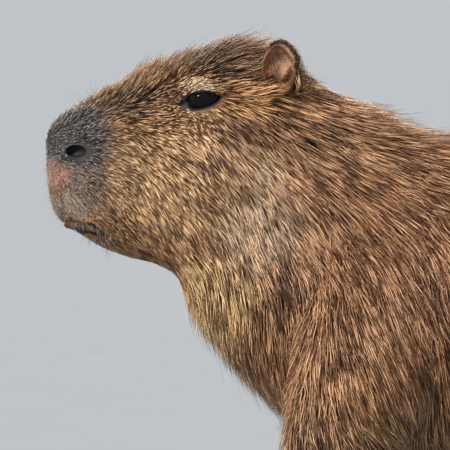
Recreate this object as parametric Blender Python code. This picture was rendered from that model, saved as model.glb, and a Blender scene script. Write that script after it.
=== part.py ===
"""A capybara standing on its four feet with its head raised, as a life-size still model.

It faces -X with its left side towards -Y, and the soles of its feet are on the floor at Z = 0.
Places on the body are told in millimetres: how far behind the tip of the nose, how far out
from the middle of the body, and how high above the floor.
"""

import math
import random
from typing import NamedTuple

import bmesh
import bpy
from mathutils import Matrix, Vector
from mathutils.bvhtree import BVHTree

MM = 0.001
MIDDLE = 568  # half the animal's length over the coat, nose to rump
GAP = 0.3  # between the faces of two nodes that meet
SHARPEST = 3  # the most that a corner moves off, over the gap
AROUND = 24  # points round a cross-section of the trunk and head
AROUND_LIMB = 12
AROUND_TOE = 8
SLIVER = 0.01  # a shorter edge than this is closed up
FAR = 600  # off the middle of the body, outside all of it
CLEAR = 90  # off the core, outside all locks
SEED = 7

SHOW_LOCKS = True

# The coat in the solids: flat tapered locks, wider and fewer than the real ones
LOCK_SHAPE = ((0.0, 0.75), (0.3, 1.0), (0.68, 0.72), (1.0, 0.0))  # along it, and its fullness
LOCK_SLIM = 0.54  # width over length
LOCK_THICK = 0.05  # thickness at the ridge over length
LOCK_SINK = 5  # depth of a root under the core
LOCK_RISE = 0.8  # a lower power lifts a lock nearer its root
LOCK_TRIES = 12000
LENGTHS = (0.9, 1.1)  # how much locks vary round the sizes of their place
WIDTHS = (0.92, 1.08)
DRIFT = 0.12  # how far a lock may lean to one side by its tip
LOCK_DROOP = 6  # the most that its edges come down round the body
PITCH_ALONG = 0.64  # spacing along the lie over the length of the lock
PITCH_ACROSS = 0.93  # spacing across the lie over its width
SKIRT = 0.9  # height over the core where the locks of the node ahead may start to hang back
SKIRT_SLOPE = 0.16  # how fast that height grows behind the cut
SKIRT_STEPS = 9

# The eyes
EYE_RADIUS = 15
EYE_BEHIND = 139
EYE_HEIGHT = 510
EYE_DEPTH = 11.5  # centre of the ball under the side of the head
LID_THICK = 2.4
LID_LENGTH = 33  # the opening between the lids
LID_OPEN = 15
LID_TILT = 13  # the rear corner is the higher one, in degrees
LID_STEPS = 8

# The nostrils and the mouth
NOSTRIL_BEHIND = 31
NOSTRIL_HEIGHT = 466
NOSTRIL_HOLE = (6.5, 8, 4.5)  # half its length, depth and height
NOSTRIL_WING = (12, 4.2, 9)
NOSTRIL_WING_SINK = 2.2
NOSTRIL_TILT = 14
LIP_FRONT = (13, 403)
LIP_CORNER = (52, 396)
LIP_SAG = 3.5  # how far the upper lip hangs below a straight line to the corner
LIP_GROOVE = 2.6
LIP_STEPS = 9

# The ears
EAR_BEHIND = 203
EAR_HEIGHT = 536
EAR_OUT = 50
EAR_HALF = (17.5, 9.5, 25)
EAR_CUP_HALF = (14.9, 9.5, 22.4)
EAR_CUP_SHIFT = (-1, 7.5, 1)
EAR_LEAN = 24  # outwards, in degrees
EAR_TURN = 16  # of the cup towards the front, in degrees

# The legs: how far each foot stands behind its place in a square stance
STANCE = {
    "fore_left": (-1, 0),
    "fore_right": (1, 34),
    "hind_left": (-1, -30),
    "hind_right": (1, 28),
}
FORE_TOP = 232  # height where a foreleg leaves the coat of the trunk
HIND_TOP = 238
WRIST = 66
HOCK = 92
SLEEVE = 7  # how far the coat of the trunk reaches down over the top of a leg
SLEEVE_WALL = 3


class Station(NamedTuple):
    """One cross-section of the trunk and head, in the plane through its back and belly points."""

    back: tuple  # behind the nose and above the floor
    belly: tuple
    half: float  # half its width
    widest: float  # height of the widest level, from 0 at the belly to 1 at the back
    crown: float  # 2 is an ellipse above the widest level, and more is squarer
    keel: float  # the same below it


BODY = (
    Station((3.5, 466), (5, 437), 12, 0.50, 2.3, 2.3),
    Station((4, 478), (8, 423), 23, 0.50, 2.5, 2.4),
    Station((9, 488), (13, 411), 31, 0.50, 2.7, 2.5),
    Station((17, 496), (21, 403), 35.5, 0.49, 2.8, 2.5),
    Station((29, 504), (32, 396), 38.5, 0.48, 2.8, 2.5),
    Station((43, 511), (46, 387), 41.5, 0.46, 2.8, 2.4),
    Station((62, 518), (63, 379), 45, 0.44, 2.7, 2.3),
    Station((84, 526), (82, 373), 50, 0.43, 2.6, 2.2),
    Station((106, 535), (98, 368), 57, 0.42, 2.5, 2.2),
    Station((128, 543), (111, 361), 64, 0.42, 2.4, 2.2),
    Station((150, 549), (121, 352), 69, 0.43, 2.3, 2.2),
    Station((172, 551), (129, 343), 71, 0.44, 2.2, 2.2),
    Station((196, 546), (136, 333), 71, 0.46, 2.1, 2.1),
    Station((222, 530), (144, 322), 71, 0.47, 2.0, 2.1),
    Station((252, 510), (154, 309), 75, 0.47, 2.0, 2.1),
    Station((290, 490), (169, 292), 83, 0.47, 2.0, 2.1),
    Station((336, 476), (188, 271), 95, 0.47, 2.0, 2.1),
    Station((382, 470), (212, 249), 107, 0.47, 2.0, 2.1),
    Station((430, 471), (248, 228), 118, 0.47, 2.0, 2.1),
    Station((480, 476), (300, 211), 127, 0.48, 2.05, 2.1),
    Station((534, 485), (362, 198), 134, 0.48, 2.1, 2.1),
    Station((594, 493), (434, 187), 141, 0.47, 2.1, 2.1),
    Station((656, 501), (514, 179), 146, 0.46, 2.1, 2.1),
    Station((722, 507), (602, 175), 149, 0.46, 2.1, 2.1),
    Station((790, 510), (692, 178), 149, 0.46, 2.1, 2.1),
    Station((852, 508), (780, 188), 145, 0.47, 2.1, 2.1),
    Station((912, 501), (860, 203), 138, 0.48, 2.1, 2.1),
    Station((966, 487), (932, 221), 129, 0.50, 2.1, 2.1),
    Station((1018, 466), (990, 238), 119, 0.51, 2.1, 2.1),
    Station((1066, 434), (1044, 258), 104, 0.52, 2.15, 2.1),
    Station((1099, 394), (1088, 288), 82, 0.52, 2.2, 2.1),
    Station((1114, 362), (1110, 318), 52, 0.52, 2.2, 2.1),
    Station((1119, 350), (1117, 328), 24, 0.52, 2.1, 2.1),
)


class Cut(NamedTuple):
    """Where the trunk is divided, counted in stations, and how far locks may hang back over it."""

    where: float
    reach: float


TRUNK = ("head", "neck", "chest", "barrel", "rump")
CUTS = (Cut(13.2, 1.6), Cut(15.6, 1.7), Cut(20.6, 1.9), Cut(24.2, 1.9))


class Limb(NamedTuple):
    """One level cross-section of a leg, for a foot that stands square."""

    behind: float
    side: float
    height: float
    long: float  # half its size fore and aft
    wide: float  # half its size across


SHOULDER = (
    Limb(322, 60, 425, 52, 26),
    Limb(306, 76, 365, 66, 36),
    Limb(286, 88, 305, 67, 41),
    Limb(268, 92, 262, 56, 38),
)
FORELEG = (
    Limb(256, 92, FORE_TOP, 47, 33),
    Limb(252, 90, 205, 41, 29),
    Limb(248, 88, 168, 33, 24.5),
    Limb(246, 86, 128, 26, 21),
    Limb(245, 85, 92, 22, 19),
    Limb(244, 85, WRIST, 21, 20),
)
FOREFOOT = (
    FORELEG[-1],
    Limb(240, 85, 45, 24, 24),
    Limb(234, 85, 28, 30, 29),
    Limb(229, 85, 14, 34, 31),
    Limb(228, 85, -3, 34, 31),
)
THIGH = (
    Limb(968, 58, 430, 48, 24),
    Limb(986, 82, 372, 82, 38),
    Limb(984, 95, 315, 96, 44),
    Limb(967, 100, 270, 95, 43),
)
HINDLEG = (
    Limb(957, 101, HIND_TOP, 86, 38),
    Limb(960, 99, 208, 70, 33),
    Limb(966, 97, 178, 52, 28),
    Limb(975, 94, 146, 37, 23),
    Limb(982, 92, 117, 29, 20),
    Limb(980, 92, HOCK, 24, 19),
)
HINDFOOT = (
    HINDLEG[-1],
    Limb(968, 92, 66, 21, 20),
    Limb(956, 92, 43, 25, 24),
    Limb(945, 92, 26, 32, 29),
    Limb(938, 92, 13, 38, 31),
    Limb(937, 92, -3, 38, 31),
)


class Toe(NamedTuple):
    spread: float  # from straight ahead, in degrees outwards
    length: float
    out: float  # how far out of the foot's middle it starts


FORE_TOES = (Toe(-26, 40, -19), Toe(-9, 50, -7), Toe(8, 50, 7), Toe(25, 40, 19))
HIND_TOES = (Toe(-19, 56, -17), Toe(0, 68, 0), Toe(19, 56, 17))
TOE_START = 0.62  # how far ahead of the foot's middle, over half the length of the foot
TOE_RADIUS = 9.5
TOE_SHAPE = ((0.0, 11, 1.0), (0.3, 13, 1.08), (0.62, 11, 1.0), (0.86, 8.5, 0.86), (1.0, 7.5, 0.6))
CLAW_LENGTH = 17
CLAW_SHAPE = ((0.0, 0.94, 0.0), (0.6, 0.72, 1.2))  # along it, its girth and how far it drops
CLAW_DROP = 3.2
FLOOR_HALF = 200  # half the size of the block that cuts the soles level


class Lie(NamedTuple):
    """How the coat lies near one place on the side of the body."""

    behind: float
    height: float
    fall: float  # from straight back, in degrees downwards
    length: float
    lift: float  # of the tips over the core


COAT = (
    Lie(95, 540, -22, 34, 10),
    Lie(125, 548, -32, 40, 15),
    Lie(165, 556, -36, 42, 17),
    Lie(200, 545, -12, 46, 15),
    Lie(120, 400, 60, 50, 7),
    Lie(110, 372, 72, 48, 9),
    Lie(150, 440, 52, 52, 7),
    Lie(185, 480, 26, 52, 8),
    Lie(262, 512, 24, 70, 12),
    Lie(219, 459, 40, 64, 11),
    Lie(177, 416, 58, 60, 11),
    Lie(126, 345, 98, 56, 12),
    Lie(245, 408, 56, 76, 12),
    Lie(147, 302, 104, 66, 14),
    Lie(194, 314, 84, 74, 14),
    Lie(304, 450, 48, 90, 13),
    Lie(304, 357, 70, 92, 14),
    Lie(230, 262, 80, 66, 12),
    Lie(338, 263, 82, 84, 13),
    Lie(345, 484, 14, 92, 13),
    Lie(600, 498, 4, 118, 15),
    Lie(600, 420, 34, 122, 15),
    Lie(600, 320, 50, 122, 15),
    Lie(600, 210, 44, 112, 14),
    Lie(600, 178, 10, 100, 12),
    Lie(880, 505, 8, 122, 16),
    Lie(900, 400, 46, 122, 16),
    Lie(930, 300, 72, 100, 13),
    Lie(1040, 445, 52, 112, 17),
    Lie(1100, 350, 84, 96, 17),
)
BLEND_NEAR = 10  # within this of a place of COAT its own values hold
EYE_CLEAR = 34  # no lock is rooted this near an eye or an ear, seen from the side
EAR_CLEAR = 20
FACE_END = 90  # where the long coat starts on the crown and the throat
CHEEK_END = 150  # where it starts on the side of the head
CHEEK_LOW = 392  # it reaches further forward under the jaw, below this height at FACE_END
CHEEK_RISE = 0.9
MIDLINE = 26  # half the width of the strip along the crown and the throat
CHEEK_OUT = 30
LEG_OUT = 46  # further out than this a leg is bare of long coat
LEG_CLEAR = 26  # no lock is rooted this little above the top of a leg
FORE_END = 330  # the forelegs are ahead of this, and the hind legs behind the next
HIND_START = 850
FUR = (0.30, 0.18, 0.10)
FUR_PALE = (0.42, 0.29, 0.17)
FUR_DARK = (0.16, 0.10, 0.07)
SKIN_DARK = (0.05, 0.045, 0.045)
EYE_BLACK = (0.012, 0.009, 0.008)
HORN = (0.045, 0.035, 0.03)


def place(behind, side, height):
    return Vector(((behind - MIDDLE) * MM, side * MM, height * MM))


def clear_scene():
    for old in list(bpy.data.objects):
        bpy.data.objects.remove(old, do_unlink=True)


def paint(objects, name, colour, roughness):
    made = bpy.data.materials.new(name)
    made.use_nodes = True
    shader = made.node_tree.nodes["Principled BSDF"]
    shader.inputs["Base Color"].default_value = (*colour, 1)
    shader.inputs["Roughness"].default_value = roughness
    shader.inputs["Metallic"].default_value = 0
    for obj in objects:
        obj.data.materials.clear()
        obj.data.materials.append(made)


def settle(mesh):
    """Puts the points, the faces and the first corner of each face in one order, because the
    operators leave them in another one each time, and later steps would come out otherwise."""
    order = sorted(range(len(mesh.vertices)), key=lambda k: tuple(mesh.vertices[k].co))
    number = {old: new for new, old in enumerate(order)}
    faces = []
    for face in mesh.polygons:
        corners = [number[k] for k in face.vertices]
        first = corners.index(min(corners))
        faces.append(corners[first:] + corners[:first])
    points = [mesh.vertices[k].co.copy() for k in order]
    mesh.clear_geometry()
    mesh.from_pydata(points, [], sorted(faces))
    mesh.update()


def finish_mesh(name, bm):
    """The bmesh as an object whose faces all point out."""
    bmesh.ops.recalc_face_normals(bm, faces=bm.faces[:])
    mesh = bpy.data.meshes.new(name)
    bm.to_mesh(mesh)
    bm.free()
    settle(mesh)
    made = bpy.data.objects.new(name, mesh)
    bpy.context.scene.collection.objects.link(made)
    return made


def loft(name, rings, tip=None):
    """A closed skin drawn through rings of points, shut by a face at each end or by a tip."""
    bm = bmesh.new()
    loop = bmesh.ops.create_circle(bm, segments=len(rings[0]), radius=1)["verts"]
    for vert, point in zip(loop, rings[0]):
        vert.co = point
    bmesh.ops.contextual_create(bm, geom=loop)
    for ring in rings[1:]:
        edges = [
            next(e for e in vert.link_edges if e.other_vert(vert) == loop[k - 1])
            for k, vert in enumerate(loop)
        ]
        made = bmesh.ops.extrude_edge_only(bm, edges=edges)["geom"]
        fresh = {item for item in made if isinstance(item, bmesh.types.BMVert)}
        loop = [
            next(e.other_vert(v) for e in v.link_edges if e.other_vert(v) in fresh)
            for v in loop
        ]
        for vert, point in zip(loop, ring):
            vert.co = point
    if tip is None:
        bmesh.ops.contextual_create(bm, geom=loop)
    else:
        end = bmesh.ops.extrude_edge_only(
            bm,
            edges=[
                next(e for e in vert.link_edges if e.other_vert(vert) == loop[k - 1])
                for k, vert in enumerate(loop)
            ],
        )["geom"]
        points = [item for item in end if isinstance(item, bmesh.types.BMVert)]
        bmesh.ops.pointmerge(bm, verts=points, merge_co=tip)
    return finish_mesh(name, bm)


def combine(kept, others, operation, solver="EXACT"):
    """Joins the others to the kept object, cuts them from it, or keeps what it shares with them.
    EXACT opens seams in a node that carries many locks, so those nodes take MANIFOLD."""
    group = bpy.data.collections.new("tools")
    for other in others:
        group.objects.link(other)
    change = kept.modifiers.new("combine", "BOOLEAN")
    change.operation = operation
    change.solver = solver
    change.operand_type = "COLLECTION"
    change.collection = group
    bpy.context.view_layer.objects.active = kept
    bpy.ops.object.modifier_apply(modifier=change.name)
    for other in others:
        bpy.data.objects.remove(other, do_unlink=True)
    bpy.data.collections.remove(group)
    settle(kept.data)
    return kept


def copy_of(source, name):
    made = bpy.data.objects.new(name, source.data.copy())
    bpy.context.scene.collection.objects.link(made)
    return made


def pieces_of(bm):
    """The faces of each surface that isn't joined to another but along a pinched edge."""
    left = set(bm.faces)
    while left:
        reached = [left.pop()]
        piece = []
        while reached:
            face = reached.pop()
            piece.append(face)
            for edge in face.edges:
                if len(edge.link_faces) != 2:
                    continue
                for other in edge.link_faces:
                    if other in left:
                        left.discard(other)
                        reached.append(other)
        yield piece


def volume_of(faces):
    total = 0.0
    for face in faces:
        first, *rest = (loop.vert.co for loop in face.loops)
        for one, two in zip(rest, rest[1:]):
            total += first.dot(one.cross(two)) / 6
    return total


def keep_largest(obj):
    """Only the largest closed surface stays, without sealed hollows and loose scraps."""
    bm = bmesh.new()
    bm.from_mesh(obj.data)
    bmesh.ops.triangulate(bm, faces=bm.faces[:], ngon_method="EAR_CLIP")
    bmesh.ops.dissolve_degenerate(bm, edges=bm.edges[:], dist=SLIVER * MM)
    parts = sorted(pieces_of(bm), key=volume_of)
    doomed = [face for part in parts[:-1] for face in part]
    bmesh.ops.delete(bm, geom=doomed, context="FACES")
    bm.to_mesh(obj.data)
    bm.free()
    settle(obj.data)
    return obj


def station_at(where):
    """The cross-section at a place counted in stations, on a smooth curve through them."""
    last = len(BODY) - 1
    low = min(int(where), last - 1)
    share = where - low
    four = [BODY[min(max(low + k, 0), last)] for k in (-1, 0, 1, 2)]

    def flat(s):
        return (*s.back, *s.belly, s.half, s.widest, s.crown, s.keel)

    values = []
    for a, b, c, d in zip(*map(flat, four)):
        values.append(
            0.5
            * (
                2 * b
                + (c - a) * share
                + (2 * a - 5 * b + 4 * c - d) * share**2
                + (3 * b - a - 3 * c + d) * share**3
            )
        )
    return Station(tuple(values[0:2]), tuple(values[2:4]), *values[4:])


def section(station):
    """The points of a cross-section, from the ridge of the back round by the right side."""
    back = place(station.back[0], 0, station.back[1])
    belly = place(station.belly[0], 0, station.belly[1])
    centre = belly.lerp(back, station.widest)
    points = []
    for k in range(AROUND):
        angle = math.tau * k / AROUND
        rise, out = math.cos(angle), math.sin(angle)
        power = 2 / (station.crown if rise >= 0 else station.keel)
        reach = (back if rise >= 0 else belly) - centre
        side = math.copysign(abs(out) ** power, out) * station.half * MM
        points.append(centre + reach * abs(rise) ** power + Vector((0, side, 0)))
    return points


def level_ring(limb, side, shift):
    centre = place(limb.behind + shift, side * limb.side, limb.height)
    points = []
    for k in range(AROUND_LIMB):
        angle = math.tau * k / AROUND_LIMB
        spoke = Vector((limb.long * math.cos(angle), limb.wide * math.sin(angle), 0))
        points.append(centre + spoke * MM)
    return points


def make_bare():
    """The trunk and head alone, without the tops of the legs."""
    return loft("bare", [section(station) for station in BODY])


def make_core():
    """The body under the locks, down to the elbows and the knees."""
    core = make_bare()
    for kind, upper, lower in (("fore", SHOULDER, FORELEG), ("hind", THIGH, HINDLEG)):
        hem = lower[0]._replace(
            height=lower[0].height - SLEEVE,
            long=lower[0].long + SLEEVE_WALL,
            wide=lower[0].wide + SLEEVE_WALL,
        )
        for hand in ("left", "right"):
            side, shift = STANCE[f"{kind}_{hand}"]
            rings = [
                level_ring(limb, side, shift * k / len(upper))
                for k, limb in enumerate((*upper, hem))
            ]
            combine(core, [loft("mass", rings)], "UNION")
    return core


def tree_of(*objects):
    bm = bmesh.new()
    for obj in objects:
        bm.from_mesh(obj.data)
    tree = BVHTree.FromBMesh(bm)
    bm.free()
    return tree


def coat_at(point):
    """How the coat lies at a point: a blend of the places of COAT, the nearest ones most."""
    behind = point.x / MM + MIDDLE
    height = point.z / MM
    total = fall_x = fall_z = length = lift = 0.0
    for lie in COAT:
        away = (lie.behind - behind) ** 2 + (lie.height - height) ** 2
        weight = 1 / (away + BLEND_NEAR**2) ** 1.5
        total += weight
        fall_x += weight * math.cos(math.radians(lie.fall))
        fall_z -= weight * math.sin(math.radians(lie.fall))
        length += weight * lie.length
        lift += weight * lie.lift
    return Vector((fall_x, 0, fall_z)), length / total, lift / total


def along(direction, normal):
    flat = direction - normal * direction.dot(normal)
    return flat.normalized() if flat.length > 1e-6 else None


def sample_surface(obj, tries, rng):
    """Points spread at random over the faces, with their normals."""
    mesh = obj.data
    mesh.calc_loop_triangles()
    triangles = list(mesh.loop_triangles)
    picked = rng.choices(triangles, weights=[t.area for t in triangles], k=tries)
    for triangle in picked:
        a, b, c = (mesh.vertices[i].co for i in triangle.vertices)
        u, v = rng.random(), rng.random()
        if u + v > 1:
            u, v = 1 - u, 1 - v
        yield a + (b - a) * u + (c - a) * v


def bears_locks(point):
    """The long coat starts behind the face and ends above the legs."""
    behind = point.x / MM + MIDDLE
    height = point.z / MM
    beside = abs(point.y / MM)
    from_eye = math.hypot(behind - EYE_BEHIND, height - EYE_HEIGHT)
    from_ear = math.hypot(behind - EAR_BEHIND, height - EAR_HEIGHT)
    if behind < FACE_END or from_eye < EYE_CLEAR:
        return False
    if beside > MIDLINE and from_ear < EAR_CLEAR:
        return False
    cheek = CHEEK_LOW + (behind - FACE_END) * CHEEK_RISE
    if beside > CHEEK_OUT and behind < CHEEK_END and height > cheek:
        return False
    fore = behind < FORE_END and height < FORE_TOP + LEG_CLEAR
    hind = behind > HIND_START and height < HIND_TOP + LEG_CLEAR
    return not (beside > LEG_OUT and (fore or hind))


def lock_roots(core, tree, rng):
    """Roots spread evenly over the coat, each with the coat's lie and sizes there."""
    chosen = []
    for point in sample_surface(core, LOCK_TRIES, rng):
        if not bears_locks(point):
            continue
        lie, length, lift = coat_at(point)
        lie = along(lie, tree.find_nearest(point)[1])
        if lie is None:
            continue
        pitch_along = length * PITCH_ALONG * MM
        pitch_across = length * LOCK_SLIM * PITCH_ACROSS * MM
        clear = True
        for other in chosen:
            step = other[0] - point
            if abs(step.x) > pitch_along or abs(step.z) > pitch_along:
                continue
            ahead = step.dot(lie)
            beside = (step - lie * ahead).length
            if (ahead / pitch_along) ** 2 + (beside / pitch_across) ** 2 < 1:
                clear = False
                break
        if clear:
            chosen.append((point, lie, length * rng.uniform(*LENGTHS), lift))
    return chosen


def past_cut(point, cut):
    """How far a point is behind the plane of a cut."""
    station = station_at(cut.where)
    back = place(station.back[0], 0, station.back[1])
    belly = place(station.belly[0], 0, station.belly[1])
    up = back - belly
    return (point - belly).dot(Vector((up.z, 0, -up.x)).normalized())


def skirt_height(past):
    return SKIRT * MM + SKIRT_SLOPE * max(past, 0)


def droop(tree, edge, normal):
    """How far an edge of a lock comes down to follow the body that curves away under it."""
    below = (edge - tree.find_nearest(edge)[0]).dot(normal)
    return normal * min(max(below, 0), LOCK_DROOP * MM)


def crosses_itself(obj):
    """Whether two faces that share no corner meet, as where a lock folds in a crease."""
    bm = bmesh.new()
    bm.from_mesh(obj.data)
    bm.faces.ensure_lookup_table()
    tree = BVHTree.FromBMesh(bm)
    crossed = any(
        not set(bm.faces[one].verts) & set(bm.faces[two].verts)
        for one, two in tree.overlap(tree)
    )
    bm.free()
    return crossed


def grow_lock(tree, root, rng, front, rear):
    """One flat tapered lock, sunk at its root, laid along the body and lifted at its tip.
    Next to a cut it is bent to pass under the locks of the node ahead and over the next node."""
    point, lie, length, lift = root
    width = length * LOCK_SLIM * MM * rng.uniform(*WIDTHS)
    thick = length * LOCK_THICK * MM
    drift = rng.uniform(-DRIFT, DRIFT)
    rings = []
    done = 0.0
    for share, fullness in LOCK_SHAPE:
        point = point + lie * (share - done) * length * MM
        done = share
        point, normal = tree.find_nearest(point)[:2]
        turned = along(lie, normal)
        if turned is None:
            return None
        across = normal.cross(turned)
        lie = (turned + across * drift * share).normalized()
        height = (-LOCK_SINK + (lift + LOCK_SINK) * share**LOCK_RISE) * MM
        if front:
            ceiling = skirt_height(past_cut(point, front)) - 2 * GAP * MM
            height = min(height, ceiling - thick * fullness)
        if rear and past_cut(point, rear) > 0:
            height = max(height, skirt_height(past_cut(point, rear)) + GAP * MM)
        middle = point + normal * height
        if fullness == 0:
            return loft("lock", rings, tip=middle)
        half = across * width * fullness / 2
        ring = [
            middle - half - droop(tree, point - half, normal),
            middle + normal * thick * fullness,
            middle + half - droop(tree, point + half, normal),
        ]
        rings.append(ring)
    return None


def divider(tree, cut, gap):
    """The solid ahead of a dividing section. Behind it a funnel just off the body leaves the
    room above it to the locks that are rooted ahead of it."""
    outside = CLEAR * MM

    def spokes(where):
        ring = section(station_at(where))
        centre = sum(ring, Vector()) / len(ring)
        return centre, [(point, (point - centre).normalized()) for point in ring]

    station = station_at(cut.where)
    up = place(station.back[0], 0, station.back[1]) - place(
        station.belly[0], 0, station.belly[1]
    )
    shift = Vector((up.z, 0, -up.x)).normalized() * gap
    rings = []
    reach = cut.reach if SHOW_LOCKS else 0
    steps = SKIRT_STEPS if reach else 1
    for k in range(steps):
        centre, ring = spokes(cut.where + reach * k / max(steps - 1, 1))
        points = []
        for point, out in ring:
            hit = tree.ray_cast(centre + out * FAR * MM, -out)[0] or point
            rise = skirt_height(past_cut(hit, cut)) - gap if reach else outside
            points.append(hit + out * rise + shift)
        rings.append(points)
    last = cut.where + reach
    if reach:
        rings.append([point + out * outside + shift for point, out in spokes(last)[1]])
    for k in range(math.ceil(last) - 1, 0, -1):
        rings.append([point + out * outside for point, out in spokes(k)[1]])
    rings.append([point - Vector((outside, 0, 0)) for point in rings[-1]])
    return loft("divider", rings)


def push_to_tips(core):
    """The plain form of the coat: the core swollen out to the tips of the locks."""
    bm = bmesh.new()
    bm.from_mesh(core.data)
    bm.normal_update()
    for vert in bm.verts:
        if bears_locks(vert.co):
            vert.co += vert.normal * coat_at(vert.co)[2] * MM
    bm.to_mesh(core.data)
    bm.free()


def make_trunk(core, whole):
    """The head, neck, chest, barrel and rump, each with the locks that are rooted on it.
    The locks are laid over the whole animal, legs and all."""
    tree = tree_of(core)
    rng = random.Random(SEED)
    roots = lock_roots(core, tree, rng) if SHOW_LOCKS else []
    nodes = {}
    for k, name in enumerate(TRUNK):
        front = CUTS[k - 1] if k else None
        rear = CUTS[k] if k < len(CUTS) else None
        own = [
            root
            for root in roots
            if not (front and past_cut(root[0], front) < 0)
            and not (rear and past_cut(root[0], rear) >= 0)
        ]
        node = copy_of(core, name)
        locks = []
        for root in own:
            lock = grow_lock(whole, root, rng, front, rear)
            if lock and crosses_itself(lock):
                bpy.data.objects.remove(lock, do_unlink=True)
            elif lock:
                locks.append(lock)
        if locks:
            combine(node, locks, "UNION", "MANIFOLD")
            keep_largest(node)
        if front:
            combine(node, [divider(tree, front, GAP * MM)], "DIFFERENCE", "MANIFOLD")
        if rear:
            combine(node, [divider(tree, rear, 0)], "INTERSECT", "MANIFOLD")
        nodes[name] = keep_largest(node)
    return nodes


def make_leg(name, limbs, side, shift):
    """A length of leg that stops half a gap short of what is above and below it."""
    top = limbs[0]._replace(height=limbs[0].height - GAP / 2)
    end = limbs[-1]._replace(height=limbs[-1].height + GAP / 2)
    return loft(name, [level_ring(r, side, shift) for r in (top, *limbs[1:-1], end)])


def toe_rings(root, heading, length):
    """A toe that comes down from the foot to the floor. Its last ring is where its claw starts."""
    across = Vector((-heading.y, heading.x, 0))
    rings = []
    for share, height, girth in TOE_SHAPE:
        centre = root + heading * length * share * MM
        centre.z = height * MM
        ring = []
        for k in range(AROUND_TOE):
            angle = math.tau * k / AROUND_TOE
            wide = across * math.cos(angle)
            deep = Vector((0, 0, 1.1 * math.sin(angle)))
            ring.append(centre + (wide + deep) * TOE_RADIUS * girth * MM)
        rings.append(ring)
    return rings


def make_claw(name, face, heading):
    """A blunt hoof-like claw that starts a gap off the end of its toe."""
    centre = sum(face, Vector()) / len(face)
    rings = []
    for share, girth, drop in CLAW_SHAPE:
        shift = heading * (GAP + share * CLAW_LENGTH) * MM - Vector((0, 0, drop * MM))
        rings.append([centre + (point - centre) * girth + shift for point in face])
    tip = centre + heading * (GAP + CLAW_LENGTH) * MM - Vector((0, 0, CLAW_DROP * MM))
    return loft(name, rings, tip)


def make_foot(name, limbs, toes, side, shift):
    """A foot with its toes, cut level where it stands, and a claw for each toe."""
    foot = make_leg(name, limbs, side, shift)
    pad = limbs[-2]
    digits = []
    claws = []
    for k, toe in enumerate(toes):
        angle = math.radians(toe.spread * side)
        heading = Vector((-math.cos(angle), math.sin(angle), 0))
        start = pad.behind + shift - pad.long * TOE_START
        rings = toe_rings(place(start, side * (pad.side + toe.out), 0), heading, toe.length)
        digits.append(loft("toe", rings))
        claws.append(make_claw(f"claw_{name}_{k + 1}", rings[-1], heading))
    combine(foot, digits, "UNION")
    ground = bmesh.new()
    bmesh.ops.create_cube(ground, size=2 * FLOOR_HALF * MM)
    low = place(pad.behind + shift, side * pad.side, -FLOOR_HALF)
    bmesh.ops.translate(ground, verts=ground.verts, vec=low)
    combine(foot, [finish_mesh("ground", ground)], "DIFFERENCE")
    return keep_largest(foot), claws


def make_limbs():
    """The lower legs, the feet and the claws, each with the colour of its kind.
    It gives the legs, each with the name of the node that it fits into."""
    legs = {}
    for kind, carrier, shank, foot, toes in (
        ("fore", "chest", FORELEG, FOREFOOT, FORE_TOES),
        ("hind", "rump", HINDLEG, HINDFOOT, HIND_TOES),
    ):
        for hand in ("left", "right"):
            side, shift = STANCE[f"{kind}_{hand}"]
            leg = make_leg(f"{kind}leg_{hand}", shank, side, shift)
            legs[leg] = carrier
            paw, claws = make_foot(f"{kind}foot_{hand}", foot, toes, side, shift)
            paint([leg, paw], "leg", FUR_DARK, 0.8)
            paint(claws, "horn", HORN, 0.45)
    return legs


def ball(name, centre, radii, turn=None, detail=2):
    bm = bmesh.new()
    bmesh.ops.create_icosphere(bm, subdivisions=detail, radius=1)
    matrix = Matrix.Translation(centre)
    if turn:
        matrix = matrix @ turn
    bmesh.ops.transform(
        bm, matrix=matrix @ Matrix.Diagonal((*[r * MM for r in radii], 1)), verts=bm.verts
    )
    return finish_mesh(name, bm)


def side_of_head(tree, behind, height, side):
    """The point of the head's side at a place in side view."""
    start = place(behind, side * FAR, height)
    return tree.ray_cast(start, Vector((0, -side, 0)))[0]


def almond(name, centre, side):
    """A lens-shaped bar along Y, as wide as the opening between the lids."""
    bm = bmesh.new()
    outline = []
    for half in (1, -1):
        for k in range(LID_STEPS):
            share = -1 + 2 * k / LID_STEPS
            rise = (1 - share**2) * LID_OPEN / 2
            outline.append(Vector((half * share * LID_LENGTH / 2, 0, half * rise)))
    verts = bmesh.ops.create_circle(bm, segments=len(outline), radius=1)["verts"]
    for vert, point in zip(verts, outline):
        vert.co = point * MM
    face = bmesh.ops.contextual_create(bm, geom=verts)["faces"]
    made = bmesh.ops.extrude_face_region(bm, geom=face)["geom"]
    moved = [v for v in made if isinstance(v, bmesh.types.BMVert)]
    bmesh.ops.translate(bm, verts=moved, vec=Vector((0, side * 4 * EYE_RADIUS * MM, 0)))
    turn = Matrix.Translation(centre) @ Matrix.Rotation(math.radians(-LID_TILT), 4, "Y")
    bmesh.ops.transform(bm, matrix=turn, verts=bm.verts)
    return finish_mesh(name, bm)


def make_eyes(head, tree):
    """The eyeballs, and round each a lid that stands out of the head with an almond opening."""
    eyes = []
    for hand, side in (("left", -1), ("right", 1)):
        surface = side_of_head(tree, EYE_BEHIND, EYE_HEIGHT, side)
        centre = surface - Vector((0, side * EYE_DEPTH * MM, 0))
        lids = ball("lids", centre, [EYE_RADIUS + LID_THICK] * 3)
        combine(head, [lids], "UNION", "MANIFOLD")
        opening = almond("opening", centre, side)
        room = ball("room", centre, [EYE_RADIUS + GAP] * 3)
        combine(head, [opening], "DIFFERENCE", "MANIFOLD")
        combine(head, [room], "DIFFERENCE", "MANIFOLD")
        eyes.append(ball(f"eye_{hand}", centre, [EYE_RADIUS] * 3))
    paint(eyes, "eye", EYE_BLACK, 0.08)


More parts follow.
